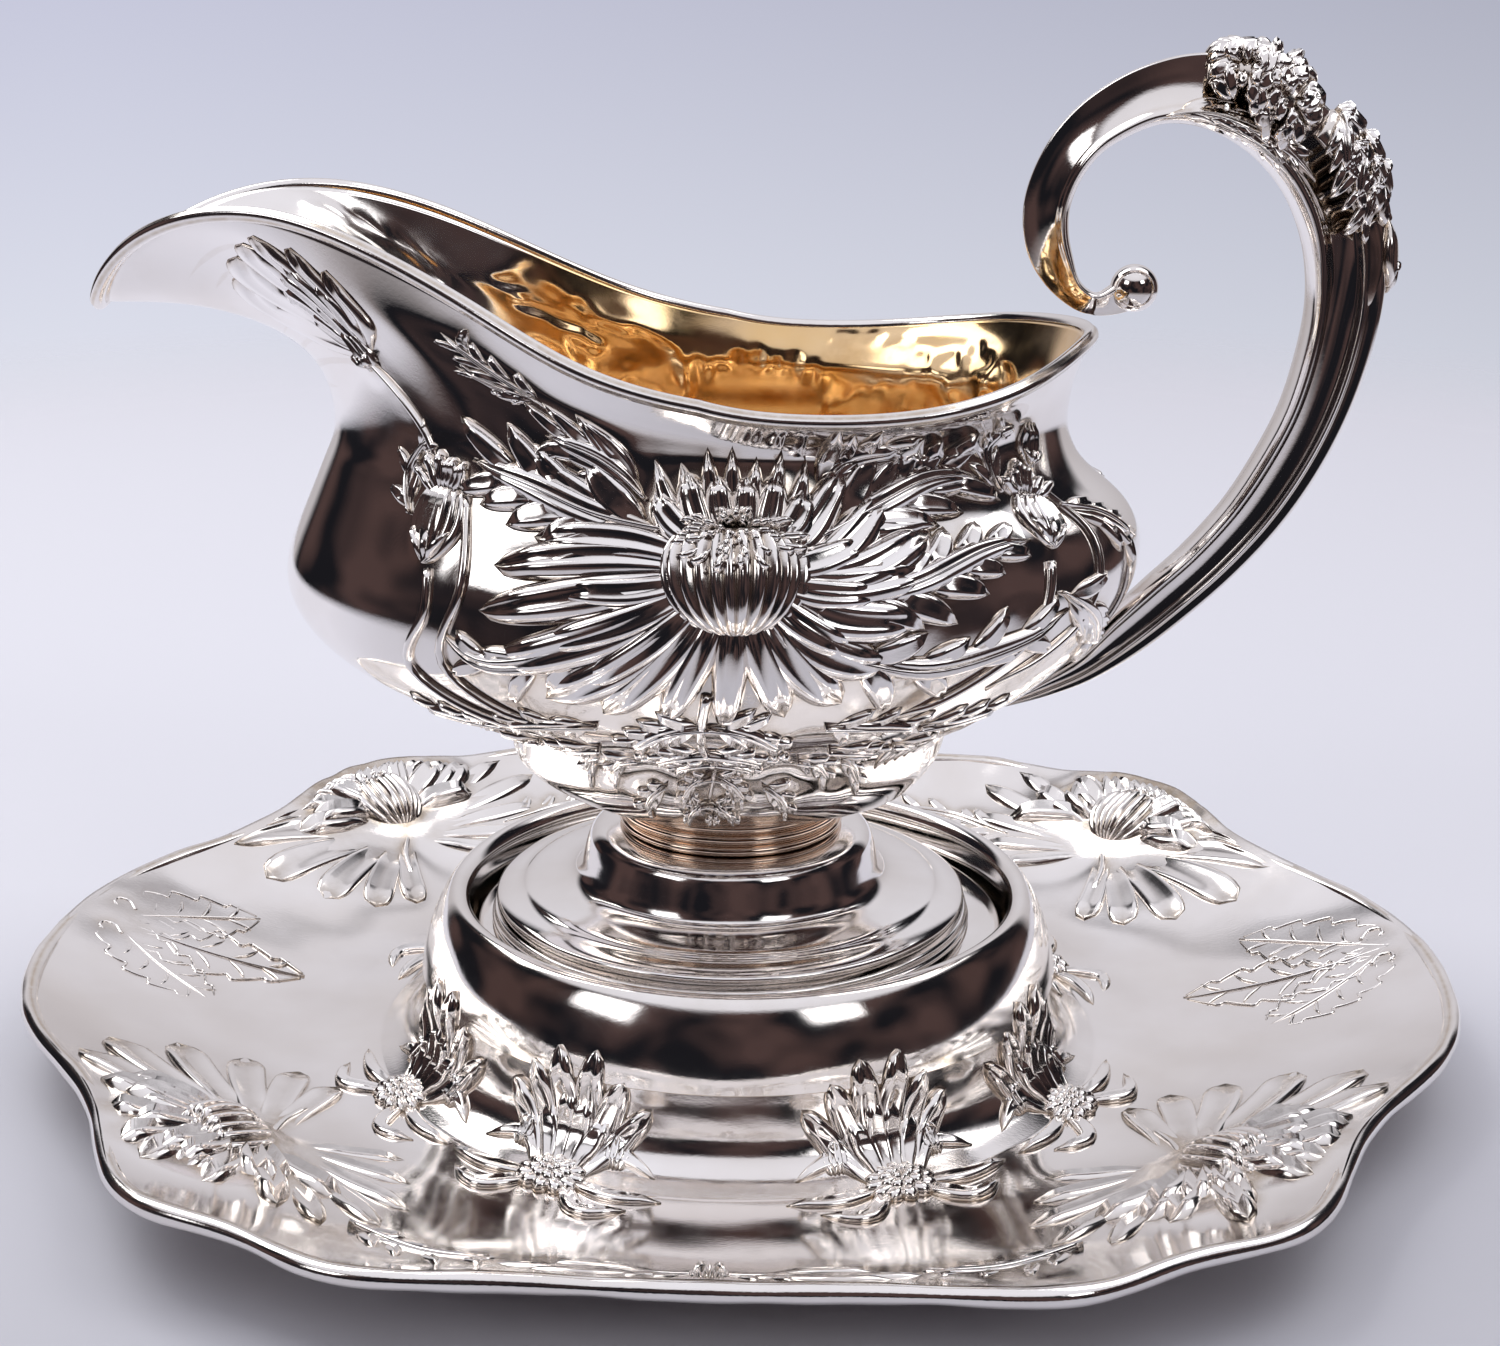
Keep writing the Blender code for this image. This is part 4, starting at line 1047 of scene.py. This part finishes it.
def make_bowl():
    chart = BowlChart()
    near_side = Relief(chart)
    bowl_chasing(near_side)
    for name, mirrored in (("bowl_chasing_front", False), ("bowl_chasing_back", True)):
        points, faces, tone = near_side.mesh(mirrored)
        piece(name, points, faces, "boat", "silver_sheet", chased_silver, ["bowl"], tone=tone)

    low, high = np.array([-100.0, -58.0]), np.array([98.0, 90.0])
    swell = relief_map(near_side.marks, low, high, 0.5, 1.5)
    sharp = relief_map(near_side.marks, low, high, 0.5, 0.8)

    columns = BOWL_COLUMNS
    outer = bowl_grid(104, columns)
    s, t = folded_places(outer)
    outward = grid_normals(outer)
    raised = swell(s, t)
    puffed = 0.45 * np.minimum(raised, 3.2)
    outside = outer + outward * puffed[..., None]
    thin = (outer + outward * (puffed - 0.07)[..., None])[::-2]
    rings = np.concatenate([outside, thin])
    tone = np.clip(sharp(s, t) * 0.9 - 0.05, 0, 0.7)
    tones = np.concatenate([tone.ravel(), np.full(len(thin) * columns, 0.2)])
    faces = [grid_faces(len(rings), columns)] + end_caps(len(rings), columns)
    piece("bowl_sheet", rings.reshape(-1, 3), faces, "boat", "silver_sheet_gilt_inside", sheet_silver,
          ["bowl"], tone=tones)

    columns = LINING_COLUMNS
    dense = bowl_grid(150, columns)
    s, t = folded_places(dense)
    outward = grid_normals(dense)
    puffed = 0.45 * np.minimum(swell(s, t), 3.2)
    pressed = 0.8 * np.minimum(sharp(s, t), 1.3)
    below_rim = smoothstep((t[-1] - t) / 16.0)
    depth = BOWL_SHEET + 0.9 * below_rim
    push = (depth - 0.62) * np.tanh((0.9 * puffed + 1.9 * pressed) / (depth - 0.62))
    inner = dense + outward * (push - depth)[..., None]
    backing = (dense - outward * 0.56)[::-3]
    rings = np.concatenate([inner, backing])[::-1]
    x = rings[..., 0].ravel()
    gilt = smoothstep((x + 46.0) / 10.0)
    tone = np.concatenate([np.clip(0.7 * pressed * (1.5 - pressed), 0, 1),
                           np.zeros(backing.shape[:2])])[::-1].ravel()
    faces = [grid_faces(len(rings), columns)] + end_caps(len(rings), columns)
    piece("bowl_gilt_lining", rings.reshape(-1, 3), faces, "boat", "silver_sheet_gilt_inside", gilt_silver,
          ["bowl"], tone=tone, gilt=gilt)

    angle = np.linspace(0, 2 * math.pi, RIM_COLUMNS, endpoint=False)
    line = rim_line(angle)
    ahead = np.roll(line, -1, axis=0) - np.roll(line, 1, axis=0)
    ahead /= np.linalg.norm(ahead, axis=1, keepdims=True)
    side = np.cross(ahead, np.array([0.0, 0.0, 1.0]))
    side /= np.linalg.norm(side, axis=1, keepdims=True)
    up = np.cross(side, ahead)
    section = np.linspace(0, 2 * math.pi, 24, endpoint=False)
    bead = RIM_WIRE_RADIUS * (1 - 0.16 * np.exp(-((section - 0.9) / 0.2) ** 2)
                              - 0.16 * np.exp(-((section - 5.6) / 0.2) ** 2))
    rings = (line[None] + side[None] * (bead * np.cos(section))[:, None, None]
             + up[None] * (bead * np.sin(section))[:, None, None])
    tone = np.repeat(np.exp(-((section - 0.9) / 0.25) ** 2) + np.exp(-((section - 5.6) / 0.25) ** 2),
                     RIM_COLUMNS)
    piece("bowl_rim_moulding", rings.reshape(-1, 3),
          [grid_faces(24, RIM_COLUMNS, closed_rows=True)[:, ::-1]], "boat",
          "silver_wire", wire_silver, ["bowl_rim_wire"], tone=np.clip(tone, 0, 0.8))


def make_foot():
    top = BOWL_LEVELS[0][0]
    low = top - 3 * REED_HEIGHT - 0.4
    reeds = [(16.5, low)]
    for reed in range(3):
        middle = low + (reed + 0.5) * (top - low) / 3
        for a in np.radians(np.linspace(-82, 82, 13)):
            reeds.append((COLLAR_RADIUS - 2.9 + 1.2 * math.cos(a), middle + 0.98 * math.sin(a)))
    reeds.append((16.5, top))
    turned("neck_reeds", reeds[::-1], "boat", "silver_sheet", neck_tone_and_reflection_silver, ["neck_collar"], FOOT_X)

    skin = eased([(16.0, low), (20.4, low), (22.9, low - 0.4), (24.5, low - 1.6), (25.2, low - 3.4),
                  (25.8, 35.2), (26.5, 33.0), (27.4, 31.5), (29.4, 30.8), (33.0, 30.5), (35.8, 30.2),
                  (36.8, 29.4), (39.2, 29.1), (41.0, 28.5), (FOOT_RADIUS, 27.6), (FOOT_RADIUS, 26.2)], 3)
    lining = eased([(40.1, 26.2), (40.1, 28.0), (38.6, 28.9), (31.0, 29.4), (26.4, 30.2), (24.2, 32.2),
                    (24.6, 34.6), (24.0, 37.0), (21.6, 39.0), (16.0, low - 1.0)], 2)
    profile = np.concatenate([skin, lining])
    turned("spun_foot", profile[::-1], "boat", "silver_sheet", spun_silver, ["foot"], FOOT_X, columns=360)
    base = eased([(38.4, 26.3), (41.2, 26.3), (41.9, 25.7), (41.5, 25.1), (41.7, 24.7), (42.2, 24.4),
                  (42.2, 23.5), (38.4, 23.5)], 2)
    turned("foot_step_wire", base[::-1], "boat", "silver_wire", wire_silver, ["foot_base_ring"], FOOT_X,
           columns=360)


# ---------------------------------------------------------------- handle


def handle_lines(count):
    """Outer and inner edge points and half thickness at even stations along the handle."""
    table = HANDLE_TAIL + HANDLE[1:]
    dense = catmull(table, np.linspace(0, len(table) - 1, 900))
    even = even_line(dense, count)
    return even[:, 0:2], even[:, 2:4], even[:, 4]


def handle_section(along, share):
    """Half thickness of the handle, as a share of its greatest, from inner edge -1 to outer ridge 1.

    share runs from the scroll end 0 to the bowl 1: the scroll has a flat face between a rolled inner bead and
    a sharp outer ridge, and the shaft gains two more reeds."""
    def roll(centre, half, height):
        return height * np.sqrt(np.clip(1 - ((along - centre) / half) ** 2, 0, 1))
    u = np.clip((along + 0.5) / 1.5, 0, 1)
    scroll = np.maximum(roll(-0.66, 0.34, 0.95),
                        (0.74 - 0.60 * u - 0.10 * np.sin(math.pi * u)) * (along > -0.66))
    panel = (0.70 - 0.12 * np.cos(3.2 * (along + 0.18))) * (along > -0.70) * (along < 0.80)
    shaft = np.maximum.reduce([roll(-0.74, 0.26, 0.95), panel, roll(0.36, 0.19, 0.95),
                               roll(0.76, 0.21, 0.80)])
    blend = smoothstep((share - 0.43) / 0.12)
    edge = np.minimum(3.5 * np.sqrt(np.clip(1 - along ** 2, 0, 1)), 1.0)
    return (scroll * (1 - blend) + shaft * blend) * edge


def make_handle():
    stations, across = 420, 60
    outer, inner, thick = handle_lines(stations)
    share = np.linspace(0, 1, stations)
    along = np.cos(np.linspace(0, math.pi, across))
    middle, half = (outer + inner) / 2, (outer - inner) / 2
    flat = middle[:, None, :] + half[:, None, :] * along[None, :, None]
    body = handle_section(along[None, :], share[:, None]) * thick[:, None]
    groove = np.gradient(np.gradient(body, axis=1), axis=1)
    tone = np.clip(groove * 1.5, 0, 0.8)
    for name, sign, node_name in (("handle_shell_back", 1.0, "handle_half_back"),
                                  ("handle_shell_front", -1.0, "handle_half_front")):
        side = np.maximum(body, 0.03) * sign
        face = np.stack([flat[..., 0], side, flat[..., 1]], axis=-1)
        seam = np.stack([flat[:, ::-6, 0], np.full((stations, across // 6), 0.01 * sign), flat[:, ::-6, 1]],
                        axis=-1)[:, 1:-1]
        ring = np.concatenate([face, seam], axis=1)
        columns = ring.shape[1]
        quads = grid_faces(stations, columns)
        caps = end_caps(stations, columns)
        if sign > 0:
            quads = quads[:, ::-1]
            caps = [cap[:, ::-1] for cap in caps]
        tones = np.concatenate([tone, np.full((stations, seam.shape[1]), 0.5)], axis=1)
        piece(name, ring.reshape(-1, 3), [quads] + caps, "boat", "silver_cast", cast_silver, [node_name],
              tone=tones.ravel())

    turn = np.linspace(0, 2 * math.pi, 64, endpoint=False)
    band = np.linspace(0.03, math.pi - 0.03, 40)
    radius = BALL_RADIUS * np.sin(band)[:, None]
    ball = np.stack([BALL_CENTRE[0] - BALL_RADIUS * np.cos(band)[:, None] + 0 * turn, radius * np.cos(turn),
                     BALL_CENTRE[1] + radius * np.sin(turn)], axis=-1)
    faces = [grid_faces(40, 64)] + end_caps(40, 64)
    piece("scroll_ball", ball.reshape(-1, 3), faces, "boat", "silver_cast", cast_silver,
          ["handle_scroll_ball"], tone=np.zeros(40 * 64))


def saddle_chart(near, length, bump):
    """Flat coordinates on a swelling astride the handle's outer edge, centred near one point.

    s runs along the handle toward the bowl, t goes round from the outer edge toward +Y."""
    outer, inner, thick = handle_lines(600)
    run = np.concatenate([[0], np.cumsum(np.linalg.norm(np.diff(outer, axis=0), axis=1))])
    start = run[np.argmin(np.linalg.norm(outer - np.array(near), axis=1))]
    table = np.concatenate([outer, inner, thick[:, None]], axis=1)

    def chart(s, t):
        edge_x, edge_z, in_x, in_z, half = (np.interp(start + s, run, table[:, k]) for k in range(5))
        wide = np.hypot(edge_x - in_x, edge_z - in_z)
        out_x, out_z = (edge_x - in_x) / wide, (edge_z - in_z) / wide
        rise = bump * np.sqrt(np.clip(1 - (s / length) ** 2, 0, 1))
        deep, broad = 0.42 * wide + rise, 0.86 * half + 0.45 * rise
        turn = t / 6.0
        along_out = deep * np.cos(turn) - 0.42 * wide
        place = np.stack([edge_x + out_x * along_out, broad * np.sin(turn), edge_z + out_z * along_out],
                         axis=-1)
        lean_out, lean_side = np.cos(turn) / deep, np.sin(turn) / broad
        size = np.hypot(lean_out, lean_side)
        return place, np.stack([out_x * lean_out / size, lean_side / size, out_z * lean_out / size], axis=-1)
    return chart


def face_chart(near):
    """Flat coordinates on the handle's front face: s along the inner edge toward the bowl, t outward."""
    outer, inner, thick = handle_lines(600)
    run = np.concatenate([[0], np.cumsum(np.linalg.norm(np.diff(inner, axis=0), axis=1))])
    start = run[np.argmin(np.linalg.norm(inner - np.array(near), axis=1))]
    table = np.concatenate([outer, inner, thick[:, None], np.linspace(0, 1, 600)[:, None]], axis=1)

    def chart(s, t):
        edge_x, edge_z, in_x, in_z, half, share = (np.interp(start + s, run, table[:, k]) for k in range(6))
        part = np.clip(t / np.hypot(edge_x - in_x, edge_z - in_z), 0.02, 0.98)
        depth = np.maximum(handle_section(2 * part - 1, share) * half, 0.55 * half)
        place = np.stack([in_x + (edge_x - in_x) * part, -depth, in_z + (edge_z - in_z) * part], axis=-1)
        return place, np.stack([0 * depth, 0 * depth - 1.0, 0 * depth], axis=-1)
    return chart


def saddle(name, node_name, near, length, bump, dress):
    """One ornament astride the handle: a low swelling with its dressing of petals and leaves."""
    chart = saddle_chart(near, length, bump)
    relief = Relief(chart)
    s = np.linspace(-length, length, 36)[:, None]
    t = np.linspace(-8.5, 8.5, 48)[None, :]
    core, normal = chart(s + 0 * t, t + 0 * s)
    relief.add(core - normal * 0.25, np.full((36, 48), 0.35))
    dress(relief, length)
    points, faces, tone = relief.mesh()
    piece(name, points, faces, "boat", "silver_cast", cast_silver, [node_name], tone=tone)


def crest_flower(relief, length):
    """Crumpled petals in several overlapping whorls over the handle's crest."""
    for hub_s, hub_t in ((-4.5, -6.0), (-4.5, 6.0), (4.5, -7.5), (4.5, 7.5), (1.0, 0.0)):
        for reach, count, height, lift in ((6.4, 8, 1.3, 0.0), (4.6, 6, 1.6, 0.4), (2.8, 4, 1.7, 0.9)):
            for k in range(count):
                turn = 2 * math.pi * (k + rng.random()) / count
                bend = turn + 0.5 * rng.standard_normal()
                c, s = math.cos(turn), math.sin(turn)
                path = [(hub_s + 0.3 * reach * c, hub_t + 0.3 * reach * s),
                        (hub_s + 0.7 * reach * c, hub_t + 0.7 * reach * s),
                        (hub_s + reach * math.cos(bend), hub_t + reach * math.sin(bend))]
                relief.ribbon(path, 1.35, height, "petal", "vein", across=9, stations=11, lift=lift, curl=0.3)
    for k in range(9):
        t = 2.5 * (k - 4)
        relief.ribbon([(-0.6 * length, 0.6 * t), (-0.8 * length, 0.8 * t), (-1.02 * length, 0.9 * t)], 1.1,
                      1.0, "petal", "vein", across=7, stations=10)


def shoulder_leaves(relief, length):
    """Leaves, small round buds and a three-petalled flower down the handle's shoulder."""
    for side in (-1, 1):
        for s0 in (-0.85, -0.25, 0.3):
            start, t = s0 * length, side * 6.0
            leaf(relief, [(start, 0.5 * t), (start + 3, t), (start + 7, 1.4 * t)], 2.9, 1.3, lobes=3)
        for s0, t in ((-0.6, 3.0), (-0.1, 5.0), (0.35, 3.5), (0.7, 5.5)):
            bud_head(relief, (s0 * length, side * t), 0, 2.6, petals=3, height=1.8)
    for s0 in (-0.6, 0.05, 0.6):
        bud_head(relief, (s0 * length, 0.0), 0, 3.2, petals=4, height=2.1)
    for side in (-1, 0, 1):
        relief.ribbon([(0.6 * length, side * 2.0), (1.0 * length, side * 3.5), (1.35 * length, side * 3.0)],
                      1.8, 1.6, "leaf", "vein", across=9, stations=14)


def hanging_bud(relief, length):
    """A long bud hanging down the outer edge from its calyx."""
    for side in (-1, 0, 1):
        relief.ribbon([(-0.9 * length, 0), (0.0, side * 3.0), (0.8 * length, side * 1.6)], 1.7, 1.2, "bud",
                      "vein", across=9, stations=16)
    bud_head(relief, (0.55 * length, 0.0), 0, 2.6, petals=5, height=1.5)
    stems(relief, [(-1.2 * length, 0), (-0.6 * length, 0)], 0.8, 1.0)


def make_handle_ornaments():
    saddle("handle_chrysanthemum", "handle_flower", (83.5, 170.5), 10.5, 2.2, crest_flower)
    saddle("handle_shoulder_leaves", "handle_leaf_cluster", (99.0, 157.0), 9.0, 1.8, shoulder_leaves)
    saddle("handle_side_bud", "handle_bud", (104.3, 141.0), 7.0, 0.9, hanging_bud)
    near = Relief(face_chart((79.5, 157.5)))
    leaf(near, [(-13, 1.6), (-5, 3.2), (4, 4.4), (12, 5.2)], 3.0, 0.9, lobes=6, lobe_angle=24)
    leaf(near, [(-9, 0.8), (0, 1.5), (9, 2.0)], 1.8, 0.8, lobes=5, lobe_angle=22)
    points, faces, tone = near.mesh()
    far_points, far_faces, far_tone = near.mesh(mirror_y=True)
    faces += [block + len(points) for block in far_faces]
    piece("handle_inner_acanthus", np.concatenate([points, far_points]), faces, "boat", "silver_cast",
          cast_silver, ["handle_inner_leaf"], tone=np.concatenate([tone, far_tone]))


# ---------------------------------------------------------------- studio

CAMERA_PLACE = (0.01549, -0.39642, 0.18912)
CAMERA_DOWN = 17.06
CAMERA_LEFT = 2.02
CAMERA_ROLL = 0.59
CAMERA_LENS = 57.6


def make_camera():
    data = bpy.data.cameras.new("camera")
    data.lens = CAMERA_LENS
    data.sensor_width = 36.0
    data.clip_start, data.clip_end = 0.01, 50.0
    camera = bpy.data.objects.new("camera", data)
    bpy.context.scene.collection.objects.link(camera)
    aim = Matrix.Rotation(math.radians(CAMERA_LEFT), 4, "Z")
    tilt = Matrix.Rotation(math.radians(90 - CAMERA_DOWN), 4, "X")
    roll = Matrix.Rotation(math.radians(CAMERA_ROLL), 4, "Z")
    camera.matrix_world = Matrix.Translation(CAMERA_PLACE) @ aim @ tilt @ roll
    bpy.context.scene.camera = camera


def make_floor():
    """A pale round table top, darker toward the front as painted shade, whose far edge fades into the
    backdrop.
    """
    rings, columns = [0.02, 0.3, 0.6, 1.0], 96
    points = [(0.0, 0.0, 0.0)]
    for radius in rings:
        for k in range(columns):
            turn = 2 * math.pi * k / columns
            points.append((radius * math.cos(turn), radius * math.sin(turn), 0.0))
    faces = [(0, 1 + k, 1 + (k + 1) % columns) for k in range(columns)]
    for r in range(len(rings) - 1):
        low, high = 1 + r * columns, 1 + (r + 1) * columns
        for k in range(columns):
            after = (k + 1) % columns
            faces.append((low + k, high + k, high + after, low + after))
    mesh = bpy.data.meshes.new("floor")
    mesh.from_pydata(points, [], faces)
    floor = bpy.data.objects.new("floor", mesh)
    bpy.context.scene.collection.objects.link(floor)
    material = bpy.data.materials.new("pale_paper")
    material.use_nodes = True
    tree = material.node_tree
    shader = tree.nodes["Principled BSDF"]
    shader.inputs["Roughness"].default_value = 0.6
    shader.inputs["Specular IOR Level"].default_value = 0.2
    place = node(tree, "ShaderNodeTexCoord").outputs["Object"]
    depth = node(tree, "ShaderNodeSeparateXYZ", {0: place}).outputs["Y"]
    # painted shade: the table top's colour runs from a darker grey at the front to pale further back,
    # standing in for the shade in front of the stand
    near = ranged(tree, depth, -0.14, 0.06, 0.0, 1.0)
    tree.links.new(blended(tree, near, (0.60, 0.60, 0.65, 1.0), (0.79, 0.79, 0.85, 1.0)),
                   shader.inputs["Base Color"])
    behind = node(tree, "ShaderNodeVectorMath", {0: place, 1: (0.0, 0.25, 0.0)},
                  operation="DISTANCE").outputs["Value"]
    fade = ranged(tree, behind, 0.43, 0.62, 0.0, 1.0)
    clear = node(tree, "ShaderNodeBsdfTransparent")
    mix = node(tree, "ShaderNodeMixShader", {0: fade, 1: shader.outputs[0], 2: clear.outputs[0]})
    tree.links.new(mix.outputs[0], tree.nodes["Material Output"].inputs["Surface"])
    mesh.materials.append(material)


def lamp_patch(tree, direction, azimuth, elevation, half_width, half_height, soft=0.04):
    """One where the direction falls in a soft rectangle of the room, else nothing."""
    a, e = math.radians(azimuth), math.radians(elevation)
    centre = (math.sin(a) * math.cos(e), -math.cos(a) * math.cos(e), math.sin(e))
    right = (math.cos(a), math.sin(a), 0.0)
    up = (-math.sin(a) * math.sin(e), math.cos(a) * math.sin(e), math.cos(e))

    def dot(axis):
        return node(tree, "ShaderNodeVectorMath", {0: direction, 1: axis},
                    operation="DOT_PRODUCT").outputs["Value"]

    def gate(axis, half):
        off = node(tree, "ShaderNodeMath", {0: dot(axis)}, operation="ABSOLUTE").outputs[0]
        return ranged(tree, off, half - soft, half + soft, 1.0, 0.0)
    front = ranged(tree, dot(centre), 0.0, 0.1, 0.0, 1.0)
    both = reckoned(tree, "MULTIPLY", gate(right, half_width), gate(up, half_height))
    return reckoned(tree, "MULTIPLY", both, front)


# Backdrop colours seen straight from the camera, darker toward the top and darker still to the right: painted
# shade on the sweep
BACKDROP_LOW = (0.78, 0.80, 0.88, 1.0)
BACKDROP_HIGH = (0.55, 0.56, 0.70, 1.0)


def make_world():
    """A white tent round the table, open to a dim room at the front, with window lights high in front."""
    world = bpy.data.worlds.new("studio")
    bpy.context.scene.world = world
    world.use_nodes = True
    tree = world.node_tree
    tree.nodes.clear()
    direction = node(tree, "ShaderNodeTexCoord").outputs["Generated"]
    split = node(tree, "ShaderNodeSeparateXYZ", {0: direction})
    height = split.outputs["Z"]
    tent = blended(tree, ranged(tree, height, -0.1, 0.9, 0.0, 1.0), (0.51, 0.48, 0.50, 1.0),
                   (0.86, 0.86, 0.93, 1.0))
    facing = ranged(tree, split.outputs["Y"], 0.72, 0.80, 1.0, 0.0)
    above = ranged(tree, height, -0.44, -0.24, 0.0, 1.0)
    below = ranged(tree, height, 0.62, 0.70, 1.0, 0.0)
    room = reckoned(tree, "MULTIPLY", reckoned(tree, "MULTIPLY", above, below), facing)
    shelf = noise(tree, direction, 2.6, 1.0)
    murk = blended(tree, ranged(tree, shelf, 0.42, 0.66, 0.0, 1.0), (0.010, 0.010, 0.013, 1.0),
                   (0.075, 0.046, 0.044, 1.0))
    colour = blended(tree, room, tent, murk)
    for azimuth, elevation, half_width, half_height, power in ((-50, 30, 0.17, 0.12, 2.8),
                                                               (40, 34, 0.15, 0.11, 2.8)):
        lit = lamp_patch(tree, direction, azimuth, elevation, half_width, half_height)
        colour = blended(tree, lit, colour, (power, power, power * 1.03, 1.0))
    reflected = node(tree, "ShaderNodeBackground", {"Color": colour, "Strength": 1.0})
    # painted shade on the backdrop: lighter low and to the left, darker toward the top and the right
    low = blended(tree, ranged(tree, split.outputs["X"], -0.3, 0.3, 0.0, 1.0), BACKDROP_LOW,
                  (0.68, 0.70, 0.78, 1.0))
    top = blended(tree, ranged(tree, split.outputs["X"], -0.3, 0.3, 0.0, 1.0), BACKDROP_HIGH,
                  (0.41, 0.42, 0.51, 1.0))
    sight = blended(tree, ranged(tree, height, -0.22, 0.0, 0.0, 1.0), low, top)
    seen = node(tree, "ShaderNodeBackground", {"Color": sight, "Strength": 1.0})
    path = node(tree, "ShaderNodeLightPath")
    mix = node(tree, "ShaderNodeMixShader",
               {0: path.outputs["Is Camera Ray"], 1: reflected.outputs[0], 2: seen.outputs[0]})
    output = node(tree, "ShaderNodeOutputWorld")
    tree.links.new(mix.outputs[0], output.inputs["Surface"])


def make_lights():
    for name, place, size, power in (("key_light", (-0.55, 0.30, 0.9), 0.7, 4.3),
                                     ("fill_light", (0.5, 0.2, 0.9), 0.6, 1.5)):
        data = bpy.data.lights.new(name, "AREA")
        data.size = size
        data.specular_factor = 0.0
        data.energy = power
        lamp = bpy.data.objects.new(name, data)
        bpy.context.scene.collection.objects.link(lamp)
        lamp.matrix_world = Matrix.Translation(place)
        lamp.rotation_mode = "QUATERNION"
        lamp.rotation_quaternion = (-Vector(place)).to_track_quat("-Z", "Y")


make_camera()
make_stand()
make_bowl()
make_foot()
make_handle()
make_handle_ornaments()
make_floor()
make_world()
make_lights()
bpy.context.scene.view_settings.view_transform = "Standard"
